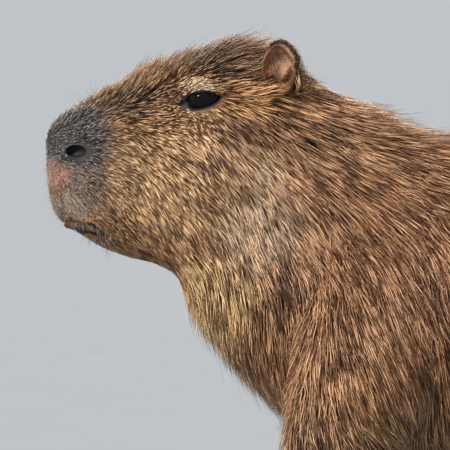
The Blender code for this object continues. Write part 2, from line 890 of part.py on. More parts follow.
def make_nostrils(head, tree):
    """A raised wing round each nostril and the hole in it."""
    turn = Matrix.Rotation(math.radians(NOSTRIL_TILT), 4, "Y")
    for side in (-1, 1):
        surface = side_of_head(tree, NOSTRIL_BEHIND, NOSTRIL_HEIGHT, side)
        sunk = surface - Vector((0, side * NOSTRIL_WING_SINK * MM, 0))
        wing = ball("wing", sunk, NOSTRIL_WING, turn)
        combine(head, [wing], "UNION", "MANIFOLD")
        hole = ball("hole", surface, NOSTRIL_HOLE, turn)
        combine(head, [hole], "DIFFERENCE", "MANIFOLD")


def make_mouth(head, tree):
    """The line of the mouth: a groove from one corner round the front to the other."""
    path = []
    for side in (-1, 1):
        half = []
        for k in range(LIP_STEPS):
            share = k / (LIP_STEPS - 1)
            behind = LIP_FRONT[0] + (LIP_CORNER[0] - LIP_FRONT[0]) * share
            height = LIP_FRONT[1] + (LIP_CORNER[1] - LIP_FRONT[1]) * share
            height -= LIP_SAG * math.sin(math.pi * share)
            point = side_of_head(tree, behind, height, side)
            if point:
                half.append(point)
        path = half[::-1] if side < 0 else path + half
    curve = bpy.data.curves.new("lip_line", "CURVE")
    curve.dimensions = "3D"
    curve.bevel_depth = LIP_GROOVE * MM
    curve.bevel_resolution = 1
    curve.use_fill_caps = True
    line = curve.splines.new("POLY")
    line.points.add(len(path) - 1)
    for spot, point in zip(line.points, path):
        spot.co = (*point, 1)
    guide = bpy.data.objects.new("lip_line", curve)
    bpy.context.scene.collection.objects.link(guide)
    bpy.context.view_layer.update()
    bm = bmesh.new()
    bm.from_mesh(bpy.data.meshes.new_from_object(guide))
    bpy.data.objects.remove(guide, do_unlink=True)
    bmesh.ops.remove_doubles(bm, verts=bm.verts, dist=1e-6)
    combine(head, [finish_mesh("groove", bm)], "DIFFERENCE", "MANIFOLD")


def make_ears(bare):
    """Each ear is a small round cup that stands off the side of the poll."""
    ears = []
    for hand, side in (("left", -1), ("right", 1)):
        centre = place(EAR_BEHIND, side * EAR_OUT, EAR_HEIGHT)
        lean = Matrix.Rotation(math.radians(-side * EAR_LEAN), 4, "X")
        pose = Matrix.Rotation(math.radians(side * EAR_TURN), 4, "Z") @ lean
        ear = ball(f"ear_{hand}", centre, EAR_HALF, pose)
        front, out, up = EAR_CUP_SHIFT
        shift = pose.to_3x3() @ Vector((front, side * out, up)) * MM
        combine(ear, [ball("cup", centre + shift, EAR_CUP_HALF, pose)], "DIFFERENCE")
        ears.append(trim_by(ear, bare))
    paint(ears, "ear", FUR_DARK, 0.8)
    return ears


def trim_by(obj, solid):
    """Cuts obj clear of a solid by the gap, which the shell factor keeps even at its edges."""
    cutter = copy_of(solid, "trim")
    bm = bmesh.new()
    bm.from_mesh(cutter.data)
    bm.normal_update()
    for vert in bm.verts:
        vert.co += vert.normal * min(vert.calc_shell_factor(), SHARPEST) * GAP * MM
    bm.to_mesh(cutter.data)
    bm.free()
    combine(obj, [cutter], "DIFFERENCE", "MANIFOLD")
    return keep_largest(obj)


def build():
    clear_scene()
    legs = make_limbs()
    core = make_core()
    if not SHOW_LOCKS:
        push_to_tips(core)
    nodes = make_trunk(core, tree_of(core, *legs))
    for leg, carrier in legs.items():
        trim_by(nodes[carrier], leg)
    head = nodes["head"]
    bare = make_bare()
    tree = tree_of(bare)
    make_eyes(head, tree)
    make_nostrils(head, tree)
    make_mouth(head, tree)
    for ear in make_ears(bare):
        trim_by(head, ear)
    for helper in (core, bare):
        bpy.data.objects.remove(helper, do_unlink=True)
    paint([head], "face", FUR_PALE, 0.8)
    paint([nodes[name] for name in TRUNK[1:]], "coat", FUR, 0.85)


build()
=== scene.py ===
"""A standing capybara: one skin, its eyes, claws and coat, in a plain pale studio.

It faces -X with its left side towards -Y. Places on the body are told in millimetres: how far
behind the tip of the nose, how far out from the middle of the body, and how high above the floor.
"""

import math
from typing import NamedTuple

import bmesh
import bpy
import numpy as np
from mathutils import Matrix, Vector
from mathutils.bvhtree import BVHTree
from mathutils.kdtree import KDTree


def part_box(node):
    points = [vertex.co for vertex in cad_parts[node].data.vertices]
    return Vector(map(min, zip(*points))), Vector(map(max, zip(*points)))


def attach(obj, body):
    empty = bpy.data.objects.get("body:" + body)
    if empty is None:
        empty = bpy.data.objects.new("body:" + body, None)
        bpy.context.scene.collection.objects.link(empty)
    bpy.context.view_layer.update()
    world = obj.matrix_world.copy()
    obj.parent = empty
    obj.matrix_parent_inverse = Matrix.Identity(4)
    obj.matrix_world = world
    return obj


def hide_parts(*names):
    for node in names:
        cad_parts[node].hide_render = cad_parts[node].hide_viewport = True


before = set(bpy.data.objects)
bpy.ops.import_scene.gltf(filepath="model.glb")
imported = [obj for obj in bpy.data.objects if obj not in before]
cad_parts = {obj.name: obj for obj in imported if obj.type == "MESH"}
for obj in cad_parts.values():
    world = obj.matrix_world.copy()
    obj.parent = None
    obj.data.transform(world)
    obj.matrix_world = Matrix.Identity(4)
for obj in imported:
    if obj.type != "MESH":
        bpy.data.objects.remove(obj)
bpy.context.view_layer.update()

bl_info = {
    "name": "Standing capybara",
    "version": (1, 0, 0),
    "blender": (4, 5, 0),
    "location": "3D View > Sidebar > Capybara",
    "description": "A life-size capybara with its skin, eyes, claws and coat in a pale studio",
    "category": "Object",
}

MM = 0.001
SQUARE_CM = 1e4  # in a square metre
MIDDLE = 568  # how far behind the nose the frame's origin lies
SAME_PLACE = 1e-7
FINE_BALL = 32  # rings of a finely made ball
AROUND = 72  # points round a cross-section of the trunk and head
AROUND_LIMB = 32
AROUND_TOE = 16
TRUNK_STEPS = 4  # rings from one station of the trunk to the next
LIMB_STEPS = 4
SIDES = (("left", -1), ("right", 1))
EYE_CENTRES = {hand: sum(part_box(f"eye_{hand}"), Vector()) / 2 for hand, _ in SIDES}
EYE_RADIUS = (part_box("eye_left")[1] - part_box("eye_left")[0]).z / 2 / MM
EYE_PLACE = (EYE_CENTRES["left"].x / MM + MIDDLE, EYE_CENTRES["left"].z / MM)  # in side view

LONG_COAT = (215, 185)  # from how far behind the nose and how high up it hides the skin
TRUNK_THINNING = 0.78  # share of the faces under the long coat that are given up
HEAD_END = (225, 290)  # in front of this the skin keeps to the forms it is blended from
JOINT_GIVE = (2, 6)  # elsewhere it goes back to them from this near, and stays off from this far
FOOT_TOP = 34  # how high the feet reach
FOOT_SMOOTHING = 3  # how often the feet are smoothed
SOLE = 3.5  # the skin below this height is set on the floor
SOLE_CLEAR = 2.5  # no hair grows below this height
FINE_SKIN = ((168, 372, 0), (60, 388, 24))  # up to where, down to where, and how near the eyes


class Station(NamedTuple):
    """One cross-section of the trunk and head, in the plane through its back and belly points."""

    back: float  # behind the nose
    back_height: float
    belly: float
    belly_height: float
    half: float  # half its width
    widest: float  # height of the widest level, from 0 at the belly to 1 at the back
    crown: float  # 2 is an ellipse above the widest level, and more is squarer
    keel: float  # the same below it


BODY = (
    Station(3.5, 466, 5, 437, 12, 0.50, 2.3, 2.3),
    Station(4, 478, 8, 423, 23, 0.50, 2.5, 2.4),
    Station(9, 488, 13, 411, 31, 0.50, 2.7, 2.5),
    Station(17, 496, 21, 403, 35.5, 0.49, 2.8, 2.5),
    Station(29, 504, 32, 396, 38.5, 0.48, 2.8, 2.5),
    Station(43, 511, 46, 387, 41.5, 0.46, 2.8, 2.4),
    Station(62, 518, 63, 379, 45, 0.44, 2.7, 2.3),
    Station(84, 526, 82, 373, 50, 0.43, 2.6, 2.2),
    Station(106, 535, 98, 368, 57, 0.42, 2.5, 2.2),
    Station(128, 543, 111, 361, 64, 0.42, 2.4, 2.2),
    Station(150, 549, 121, 352, 69, 0.43, 2.3, 2.2),
    Station(172, 551, 129, 343, 71, 0.44, 2.2, 2.2),
    Station(196, 546, 136, 333, 71, 0.46, 2.1, 2.1),
    Station(222, 530, 144, 322, 71, 0.47, 2.0, 2.1),
    Station(252, 510, 154, 309, 75, 0.47, 2.0, 2.1),
    Station(290, 490, 169, 292, 83, 0.47, 2.0, 2.1),
    Station(336, 476, 188, 271, 95, 0.47, 2.0, 2.1),
    Station(382, 470, 212, 249, 107, 0.47, 2.0, 2.1),
    Station(430, 471, 248, 228, 118, 0.47, 2.0, 2.1),
    Station(480, 476, 300, 211, 127, 0.48, 2.05, 2.1),
    Station(534, 485, 362, 198, 134, 0.48, 2.1, 2.1),
    Station(594, 493, 434, 187, 141, 0.47, 2.1, 2.1),
    Station(656, 501, 514, 179, 146, 0.46, 2.1, 2.1),
    Station(722, 507, 602, 175, 149, 0.46, 2.1, 2.1),
    Station(790, 510, 692, 178, 149, 0.46, 2.1, 2.1),
    Station(852, 508, 780, 188, 145, 0.47, 2.1, 2.1),
    Station(912, 501, 860, 203, 138, 0.48, 2.1, 2.1),
    Station(966, 487, 932, 221, 129, 0.50, 2.1, 2.1),
    Station(1018, 466, 990, 238, 119, 0.51, 2.1, 2.1),
    Station(1066, 434, 1044, 258, 104, 0.52, 2.15, 2.1),
    Station(1099, 394, 1088, 288, 82, 0.52, 2.2, 2.1),
    Station(1114, 362, 1110, 318, 52, 0.52, 2.2, 2.1),
    Station(1119, 350, 1117, 328, 24, 0.52, 2.1, 2.1),
)


class Limb(NamedTuple):
    """One level cross-section of a leg, for a foot that stands square."""

    behind: float
    side: float
    height: float
    long: float  # half its size fore and aft
    wide: float  # half its size across


FORE_MASS = 4  # rows of FORE and HIND that lie inside the trunk
FORE = (
    Limb(322, 60, 425, 52, 26),
    Limb(306, 76, 365, 66, 36),
    Limb(286, 88, 305, 67, 41),
    Limb(268, 92, 262, 56, 38),
    Limb(256, 92, 232, 47, 33),
    Limb(252, 90, 205, 41, 29),
    Limb(248, 88, 168, 33, 24.5),
    Limb(246, 86, 128, 26, 21),
    Limb(245, 85, 92, 22, 19),
    Limb(244, 85, 66, 21, 20),
    Limb(240, 85, 45, 24, 24),
    Limb(234, 85, 28, 30, 29),
    Limb(229, 85, 14, 34, 31),
    Limb(228, 85, -6, 34, 31),
)
HIND = (
    Limb(968, 58, 430, 48, 24),
    Limb(986, 82, 372, 82, 38),
    Limb(984, 95, 315, 96, 44),
    Limb(967, 100, 270, 95, 43),
    Limb(957, 101, 238, 86, 38),
    Limb(960, 99, 208, 70, 33),
    Limb(966, 97, 178, 52, 28),
    Limb(975, 94, 146, 37, 23),
    Limb(982, 92, 117, 29, 20),
    Limb(980, 92, 92, 24, 19),
    Limb(968, 92, 66, 21, 20),
    Limb(956, 92, 43, 25, 24),
    Limb(945, 92, 26, 32, 29),
    Limb(938, 92, 13, 38, 31),
    Limb(937, 92, -6, 38, 31),
)
STANCE = {
    # which side a foot is on, and how far it is set back
    "fore_left": (-1, 0),
    "fore_right": (1, 34),
    "hind_left": (-1, -30),
    "hind_right": (1, 28),
}


class Toe(NamedTuple):
    spread: float  # from straight ahead, in degrees outwards
    length: float
    out: float  # how far out of the foot's middle it starts


TOES = {
    "fore": (Toe(-26, 40, -19), Toe(-9, 50, -7), Toe(8, 50, 7), Toe(25, 40, 19)),
    "hind": (Toe(-19, 56, -17), Toe(0, 68, 0), Toe(19, 56, 17)),
}
TOE_START = 0.62  # how far forward in the foot it starts, where 1 is the foot's front
TOE_RADIUS = 9.5
TOE_DEPTH = 1.1  # how deep it is for its width
# How far along the toe, how high its middle is there, and its girth
TOE_SHAPE = ((0.0, 11, 1.0), (0.3, 13, 1.08), (0.62, 11, 1.0), (0.86, 8.5, 0.86), (1.0, 7.5, 0.6))
CLAW_GAP = 0.3
CLAW_LENGTH = 17
CLAW_SHAPE = (
    # how far along the claw, its girth, and how far it has dropped
    (-0.2, 0.82, 0.0),
    (0.0, 0.94, 0.0),
    (0.25, 0.9, 0.3),
    (0.5, 0.78, 0.9),
    (0.72, 0.6, 1.7),
    (0.9, 0.34, 2.6),
)
CLAW_DROP = 3.1  # of its tip


class Lie(NamedTuple):
    """How the coat grows near one place on the side of the body."""

    behind: float
    height: float
    fall: float  # from straight back, in degrees downwards
    length: float
    rise: float  # of the tips over the skin
    depth: float  # how far the skin is sunk to make room for it


COAT = (
    Lie(8, 470, 20, 3.5, 1.2, 0.6),
    Lie(8, 430, 50, 3.5, 1.2, 0.6),
    Lie(24, 500, -42, 7.5, 5.5, 0.7),
    Lie(28, 478, -20, 5, 1.3, 0.6),
    Lie(30, 450, 25, 5.5, 1.4, 0.7),
    Lie(20, 418, 40, 5, 1.3, 0.7),
    Lie(34, 409, 38, 4.5, 1.2, 0.8),
    Lie(49, 519, -44, 13, 11, 1.0),
    Lie(50, 485, -8, 9, 2.4, 0.8),
    Lie(49, 450, 30, 14, 3.0, 1.0),
    Lie(56, 422, 42, 14, 2.6, 1.2),
    Lie(53, 405, 45, 7, 1.5, 1.0),
    Lie(44, 388, 40, 10, 1.8, 1.6),
    Lie(72, 379, 44, 16, 2.2, 2.6),
    Lie(96, 371, 50, 20, 2.6, 4.2),
    Lie(78, 470, 34, 18, 3.4, 1.2),
    Lie(80, 532, -48, 24, 26, 1.4),
    Lie(92, 497, 10, 14, 3, 1.2),
    Lie(92, 425, 52, 22, 4.5, 2.0),
    Lie(105, 385, 58, 24, 3.2, 3.5),
    Lie(105, 545, -48, 30, 26, 1.8),
    Lie(108, 507, 0, 4, 0.9, 1.0),
    Lie(132, 523, -8, 5, 1.3, 1.0),
    Lie(134, 494, 50, 8, 1.8, 1.2),
    Lie(147, 465, 60, 24, 6, 2.4),
    Lie(135, 556, -48, 34, 28, 2.0),
    Lie(168, 564, -50, 42, 40, 2.2),
    Lie(168, 528, -14, 21, 6, 2.0),
    Lie(196, 556, -20, 30, 13, 2.2),
    Lie(206, 500, 32, 34, 9, 3.5),
    Lie(172, 488, 50, 30, 8, 3),
    Lie(200, 466, 55, 38, 11, 4.5),
    Lie(240, 474, 46, 46, 13, 5),
    Lie(285, 468, 48, 54, 16, 5.5),
    Lie(223, 530, 20, 26, 8, 3.5),
    Lie(240, 534, 16, 44, 22, 3.5),
    Lie(262, 514, 20, 52, 28, 4.5),
    Lie(219, 459, 40, 40, 12, 4.5),
    Lie(177, 416, 63, 35, 10, 4),
    Lie(122, 345, 92, 40, 26, 4),
    Lie(245, 408, 56, 48, 15, 5),
    Lie(142, 302, 104, 50, 26, 5),
    Lie(165, 275, 98, 50, 21, 5),
    Lie(194, 314, 84, 50, 18, 5),
    Lie(300, 498, 18, 56, 21, 5),
    Lie(304, 450, 52, 54, 17, 5.5),
    Lie(335, 466, 42, 56, 19, 5.5),
    Lie(340, 430, 66, 58, 18, 5.5),
    Lie(342, 375, 76, 60, 18, 5.5),
    Lie(304, 357, 70, 58, 17, 5.5),
    Lie(219, 250, 80, 42, 17, 5),
    Lie(279, 235, 60, 44, 17, 5),
    Lie(338, 263, 80, 54, 18, 5.5),
    Lie(345, 484, 12, 58, 25, 5.5),
    Lie(470, 480, 8, 60, 22, 6),
    Lie(600, 498, 4, 60, 22, 7),
    Lie(600, 420, 34, 62, 21, 7),
    Lie(600, 320, 50, 62, 21, 7),
    Lie(600, 210, 44, 54, 19, 6.5),
    Lie(600, 178, 10, 46, 17, 6),
    Lie(880, 505, 8, 60, 22, 7),
    Lie(900, 400, 46, 62, 22, 7),
    Lie(930, 300, 72, 54, 18, 6),
    Lie(1040, 445, 52, 62, 23, 7),
    Lie(1100, 350, 84, 60, 22, 6),
    Lie(252, 200, 86, 22, 5, 2.0),
    Lie(246, 130, 88, 15, 2.8, 1.5),
    Lie(240, 60, 80, 9, 1.7, 1.2),
    Lie(205, 12, 15, 5, 1.2, 0.8),
    Lie(965, 205, 80, 24, 5.5, 2.2),
    Lie(975, 130, 84, 16, 3.0, 1.5),
    Lie(960, 50, 70, 9, 1.7, 1.2),
    Lie(900, 12, 15, 5, 1.2, 0.8),
)
BLEND_NEAR = 9  # within this of a row of COAT its own values hold
BLEND_POWER = 1.6  # how fast a row counts less with distance
BATCH = 20000  # points worked out at a time


class Swell(NamedTuple):
    """A soft rise or hollow of the face, on both sides of the head."""

    behind: float
    height: float
    long: float  # how far it reaches fore and aft
    high: float
    rise: float  # outwards
    beside: float  # from how far off the middle


FACE = (
    Swell(40, 446, 34, 30, 2.4, 12),  # the pad of the upper lip
    Swell(16, 452, 12, 22, -1.0, 10),
    Swell(18, 424, 16, 14, 1.2, 0),
    Swell(84, 462, 16, 50, -2.4, 12),  # the dip between the muzzle and the cheek
    Swell(128, 440, 40, 40, 3.2, 12),  # the cheek
    Swell(136, 529, 28, 8, 3.8, 12),  # the brow
    Swell(136, 511, 26, 15, -1.8, 12),  # the socket of the eye
    Swell(110, 500, 13, 10, -2.0, 12),
    Swell(146, 490, 24, 8, 1.8, 12),  # the bag under the eye
    Swell(14, 484, 20, 16, 1.6, 0),  # the tip of the nose
    Swell(20, 404.5, 9, 3.6, 2.4, 0),  # the lower lip
    Swell(182, 520, 16, 20, -1.6, 12),
)
SWELL_FADE = 2.5  # how fast a swell fades from its middle
SWELL_EDGE = 8  # over how far it begins beside the middle of the face


class Mark(NamedTuple):
    """A colour of the hide round one place in side view, the same on both sides."""

    colour: tuple
    behind: float
    height: float
    long: float
    high: float
    share: float  # how much of the colour there is at its middle
    soft: float  # 0 fades from the middle on, and 1 is sharp at the edge


MARKS = (
    Mark((0.27, 0.13, 0.06), 620, 330, 460, 400, 0.5, 0.3),
    Mark((0.46, 0.28, 0.14), 640, 176, 330, 60, 0.8, 0.1),
    Mark((0.17, 0.085, 0.045), 640, 520, 420, 60, 0.55, 0.0),
    Mark((0.76, 0.53, 0.26), 140, 330, 52, 66, 0.9, 0.1),
    Mark((0.265, 0.103, 0.047), 330, 380, 130, 150, 0.85, 0.1),
    Mark((0.44, 0.22, 0.11), 262, 502, 64, 36, 0.8, 0.0),
    Mark((0.62, 0.475, 0.325), 182, 414, 52, 66, 0.97, 0.0),
    Mark((0.52, 0.33, 0.165), 104, 440, 74, 62, 0.9, 0.2),
    Mark((0.54, 0.34, 0.19), 148, 470, 34, 26, 0.75, 0.0),
    Mark((0.29, 0.115, 0.045), 170, 440, 16, 26, 0.55, 0.0),
    Mark((0.42, 0.19, 0.09), 250, 285, 70, 60, 0.7, 0.0),
    Mark((0.40, 0.18, 0.085), 225, 433, 46, 48, 0.6, 0.0),
    Mark((0.06, 0.031, 0.016), 138, 550, 76, 25, 0.95, 0.1),
    Mark((0.58, 0.29, 0.10), 182, 512, 40, 28, 0.9, 0.0),
    Mark((0.17, 0.10, 0.055), 100, 512, 38, 22, 0.7, 0.0),
    Mark((0.42, 0.17, 0.05), 162, 512, 15, 11, 0.85, 0.0),
    Mark((0.70, 0.59, 0.42), 132, 521, 22, 9, 0.97, 0.3),
    Mark((0.58, 0.43, 0.22), 138, 496, 23, 7.5, 0.9, 0.1),
    Mark((0.065, 0.046, 0.028), 62, 515, 42, 28, 0.85, 0.2),
    Mark((0.036, 0.037, 0.039), 24, 480, 44, 36, 0.98, 0.3),
    Mark((0.12, 0.095, 0.078), 36, 436, 26, 30, 0.92, 0.2),
    Mark((0.42, 0.165, 0.12), 12.5, 444, 15, 17, 0.95, 0.1),
    Mark((0.31, 0.265, 0.23), 25, 415, 19, 15, 0.85, 0.0),
    Mark((0.03, 0.022, 0.022), 13, 430.5, 5.5, 2.2, 0.9, 0.2),
    Mark((0.34, 0.21, 0.11), 56, 392, 28, 14, 0.8, 0.0),
    # painted shade: a near-black line along the groove of the mouth
    Mark((0.015, 0.010, 0.008), 40, 398.5, 18, 5.5, 0.97, 0.4),
    Mark((0.036, 0.033, 0.032), 36, 461, 17, 13, 0.9, 0.3),
    Mark((0.075, 0.055, 0.045), 26, 401, 13, 4.5, 0.85, 0.3),
    Mark((0.19, 0.10, 0.052), 245, 130, 90, 130, 0.85, 0.3),
    Mark((0.19, 0.10, 0.052), 962, 130, 110, 130, 0.85, 0.3),
    Mark((0.06, 0.04, 0.03), 215, 10, 110, 45, 0.8, 0.2),
    Mark((0.06, 0.04, 0.03), 925, 10, 120, 45, 0.8, 0.2),
)
HIDE = (0.30, 0.145, 0.066)
WANDER = 0.02  # how far the edges of the markings wander, in metres
CLEFT_EDGE = (2, 9)  # how far off the middle the parting of the lip ends
CLEFT_COLOUR = (0.07, 0.046, 0.042)

# The nostril, in side view and in half sizes
NOSTRIL = (30.5, 465.8)
NOSTRIL_HOLE = (11.6, 6, 5.4)  # half its length, depth and height
NOSTRIL_WING = (15, 4.6, 10.5)
WING_SUNK = 2.2
WING_SMOOTHING = (21, 4)  # how far round it the skin is smoothed, and how often
HOLE_SMOOTHING = (14, 2)
NOSTRIL_SLANT = 34  # in degrees: the hole goes in deeper towards the front
NOSTRIL_TILT = 4
NOSTRIL_CLEAR = (11.6, 7.2)  # where no hair grows
NOSTRIL_BESIDE = 18  # it is bare from this far off the middle

# The mouth
LIP_FRONT = (12, 408.5)
LIP_CORNER = (55, 396)
LIP_SAG = 2.2
LIP_GROOVE = (0.7, 3.2, 1.2)  # its radius in front, where it gapes most, and at the corner
LIP_GAPE = 0.7  # how far along it gapes most
LIP_DEPTH = 1.6  # how deep the groove is for its height
LIP_STEPS = 16
LIP_ROUND = 12  # points round a section of the groove
LIP_CLEAR = 0.9

# The eye and its lids
EYE_SLIT = (38, 14.2)  # the length and height between the lids
EYE_SLIT_MIDDLE = (133.3, 507.9)
EYE_TILT = 10
EYE_SHUT = 0.3  # how fast the lids close towards the corners
EYE_ROOM = 0.25  # between the eyeball and the skin round it
SLIT_DEEP = (2.2, 6)  # at the corners, and how much more in the middle
SLIT_STEPS = 26
SLIT_END = 0.35  # how much of a step is left out at each corner
SLIT_ROUND = 16
LID_THICK = 1.9
LID_SMOOTHING = (27, 5)  # how far round it the skin is smoothed, and how often
RIM_STEPS = 56
RIM_ROUND = 10
RIM_RADIUS = 0.8
RIM_OFF = 0.4  # outside the outline of the slit
RIM_OVER_BALL = 0.3  # its middle stands at least this far off the eyeball
RIM_SUNK = 1.4  # and no deeper than this under the skin
EYE_CLEAR = 0.5
EYE_BESIDE = 40  # it is bare from this far off the middle

# The ear
EAR = (203, 50, 536)
EAR_HALF = (17.5, 9.5, 25)
EAR_CUP_HALF = (14.6, 10, 21.6)
EAR_CUP_SHIFT = (-1.2, 7.5, 0.6)
EAR_FOLD = (4, 0.5, -4)  # the middle of the fold in the cup, from the ear's
EAR_FOLD_HALF = (3.4, 4, 9)
EAR_FOLD_TURN = 0.5
EAR_GRAIN = 1.1
EAR_SMOOTHING = (60, 3)
EAR_FOOT_SMOOTHING = (13, 3)
EAR_NARROW = (0.2, 4, 25)  # how much, and from and to how high above its middle
EAR_SWEEP = 0.06  # how far its top is set back
EAR_NOTCH = (2.6, 1, 4)  # how deep it goes into the rear edge, how high it is, and half its size
EAR_NOTCH_EDGE = (6, 16)
EAR_CUP_CLEAR = 1.06  # how far out of the cup no hair grows, where 1 is its surface
EAR_FOOT = 22  # how far below the ear's middle it joins the head
EAR_LIE = (0.5, 0, 0.85, 6.5, 1.2)  # the way its fur grows, the length and the rise
EAR_LEAN = 24
EAR_TURN = 16


class Patch(NamedTuple):
    """An ellipse in side view where the finish changes."""

    centre: tuple
    size: tuple  # half its length and height
    soft: float  # 0 fades from the middle on, and 1 is sharp at the edge


CLEFT = Patch((6, 438), (17, 26), 0.2)  # the dark parting of the upper lip
NOSE_SKIN = Patch((26, 470), (52, 50), 0.3)
NOSE_HAIR = Patch((24, 474), (50, 46), 0.3)
# painted shade: the nostril's hole and the wing round it are painted near black
NOSTRIL_SHADE_PATCH = Patch(NOSTRIL, (10.5, 6), 0.5)
LID_FUR = Patch((131, 520), (24, 14), 0.3)
LID_PALE = Patch((133, 521), (24, 11), 0.3)
BUFF = Patch((182, 414), (44, 56), 0.1)  # the pale patch behind the cheek
CROWN = Patch((125, 552), (84, 26), 0.2)
EAR_SKIN = Patch((EAR[0], EAR[2] + 4), (24, 32), 0.8)
EAR_MIDDLE = Patch((EAR[0] + 2, EAR[2] + 6), (13, 18), 0.1)
# painted shade: the hollow low at the front of the ear's cup is painted near black
EAR_HOLLOW = Patch((EAR[0] - 10, EAR[2] - 13), (9, 10), 0.3)

# Colours of the skin, and of the hair that lies over it
# painted shade: the colour the skin is darkened by where the long coat lies over it, for the shade in
# the gaps between the hairs
SHADE_UNDER_COAT = (0.26, 0.19, 0.14)
EYE_CORNER = (0.055, 0.048, 0.055)
# painted shade in the nostril's hole
NOSTRIL_SHADE_COLOUR = (0.012, 0.01, 0.01)
EAR_PALE = (0.40, 0.26, 0.17)
EAR_MOTTLE = (0.16, 0.075, 0.04)
EAR_SHADE = (0.5, 0.4, 0.34)
EAR_REAR = (0.030, 0.021, 0.018)
# painted shade in the ear's hollow
EAR_CANAL_SHADE = (0.02, 0.012, 0.01)
PORE_LIGHT = (1.25, 1.2, 1.15)
HAIR_SHADE = (0.22, 0.16, 0.13)
NOSE_TIP = (0.52, 0.51, 0.49)
LIT = 1.55  # how much lighter the lit hairs are


def a_length(name, description, default):
    """A length, told in millimetres."""
    return bpy.props.FloatProperty(
        name=name, description=description, default=default * MM, unit="LENGTH"
    )


def a_count(name, default):
    return bpy.props.FloatProperty(
        name=name, description="Tufts on each square centimetre", default=default
    )


def a_share(name, description, default):
    return bpy.props.FloatProperty(
        name=name, description=description, default=default, subtype="FACTOR", min=0, max=1
    )


def a_colour(name, description, default):
    return bpy.props.FloatVectorProperty(
        name=name, description=description, default=default, size=3, subtype="COLOR"
    )


class CoatSizes(bpy.types.PropertyGroup):
    """What a user would change about the coat."""

    seed: bpy.props.IntProperty(name="Seed", description="Which draw of hairs", default=5)
    face_width: a_length("Hair on the face", "Width of a hair tuft on the muzzle", 0.52)
    neck_width: a_length("Hair on the neck", "Width of a tuft from the cheek to the shoulder", 0.92)
    body_width: a_length("Hair on the body", "Width of a hair tuft on the barrel and rump", 1.9)
    face_count: a_count("Tufts on the face", 56)
    neck_count: a_count("Tufts on the neck", 24)
    body_count: a_count("Tufts on the body", 5.9)
    leg_count: a_count("Tufts on the legs", 9)
    clump: a_length("Clump spacing", "Distance between the locks of the neck", 7)
    gather: a_share("Gather", "How far tips are drawn into their lock", 0.62)
    stray: bpy.props.FloatProperty(
        name="Stray", description="How far a tuft turns from the lie of the coat",
        default=math.radians(8), subtype="ANGLE",
    )
    strays: a_share("Long hairs", "Share of thin hairs that stand out of the coat", 0.03)


class CoatColours(bpy.types.PropertyGroup):
    """The colours of the hair."""

    tip: a_colour("Tip", "The pale end of a hair", (0.76, 0.50, 0.28))
    root: a_colour("Root", "The dark foot of a hair", (0.036, 0.017, 0.008))
    red: a_colour("Red hair", "The redder hairs among the others", (0.30, 0.11, 0.04))
    whisker: a_colour("Whisker", "The whiskers", (0.55, 0.50, 0.42))


class SkinSizes(bpy.types.PropertyGroup):
    """What a user would change about the skin."""

    voxel: a_length("Grain", "Grid of the skin before it is made finer on the head", 4.2)
    smoothing: bpy.props.IntProperty(
        name="Smoothing", description="How often the joints of legs and trunk are smoothed",
        default=10,
    )
    rim: a_colour("Lids", "The bare rims of the lids", (0.012, 0.010, 0.010))
    ear: a_colour("Ear", "The inside of the ear", (0.33, 0.15, 0.065))
    horn: a_colour("Claws", "The horn of the claws", (0.06, 0.048, 0.04))


class StageSizes(bpy.types.PropertyGroup):
    """The studio and its camera."""

    middle: bpy.props.FloatVectorProperty(
        name="Middle", description="The point at the middle of the picture", size=3,
        default=((155.6 - MIDDLE) * MM, -0.015, 0.4038), subtype="TRANSLATION",
    )
    span: a_length("Span", "Width of the picture at the animal", 382.5)
    lens: bpy.props.FloatProperty(name="Lens", description="In millimetres", default=300)
    floor: a_colour("Floor", "The pale floor", (0.2245, 0.2407, 0.262))
    air: a_colour("Air", "The light from all round", (0.80, 0.84, 0.88))


def place(behind, side, height):
    return Vector(((behind - MIDDLE) * MM, side * MM, height * MM))


def turns(count):
    """So many angles evenly round a circle."""
    return [math.tau * k / count for k in range(count)]


def between(rows, where):
    """The values of a table's rows at a place counted in rows, on a smooth curve through them."""
    last = len(rows) - 1
    low = min(int(where), last - 1)
    share = where - low
    a, b, c, d = (rows[min(max(low + k, 0), last)] for k in (-1, 0, 1, 2))
    values = [
        0.5
        * (
            2 * q
            + (r - p) * share
            + (2 * p - 5 * q + 4 * r - s) * share**2
            + (3 * q - p - 3 * r + s) * share**3
        )
        for p, q, r, s in zip(a, b, c, d)
    ]
    return type(rows[0])(*values)


def section(station):
    """The points of a cross-section, from the ridge of the back round by the right side."""
    back = place(station.back, 0, station.back_height)
    belly = place(station.belly, 0, station.belly_height)
    centre = belly.lerp(back, station.widest)
    points = []
    for angle in turns(AROUND):
        rise, out = math.cos(angle), math.sin(angle)
        power = 2 / (station.crown if rise >= 0 else station.keel)
        reach = (back if rise >= 0 else belly) - centre
        side = math.copysign(abs(out) ** power, out) * station.half * MM
        points.append(centre + reach * abs(rise) ** power + Vector((0, side, 0)))
    return points


def level_ring(limb, side, shift):
    centre = place(limb.behind + shift, side * limb.side, limb.height)
    points = []
    for angle in turns(AROUND_LIMB):
        spoke = Vector((limb.long * math.cos(angle), limb.wide * math.sin(angle), 0))
        points.append(centre + spoke * MM)
    return points


def tube(bm, rings, tip=None, closed=False):
    """Adds a skin drawn through rings of points, with flat ends, a pointed end at a tip, or closed
    on itself."""
    around = len(rings[0])
    rows = list(rings)
    if tip:
        rows.append([tip] * around)
    if closed:
        rows.append(rings[0])
    verts = bmesh.ops.create_grid(bm, x_segments=around, y_segments=len(rows) - 1, size=1)["verts"]
    verts = sorted(verts, key=lambda v: (round(v.co.y, 5), v.co.x))
    for k, vert in enumerate(verts):
        row, column = divmod(k, around + 1)
        vert.co = rows[row][column % around]
    bmesh.ops.remove_doubles(bm, verts=verts, dist=SAME_PLACE)
    if not closed:
        rim = [edge for edge in bm.edges if edge.is_boundary]
        bmesh.ops.holes_fill(bm, edges=rim, sides=0)


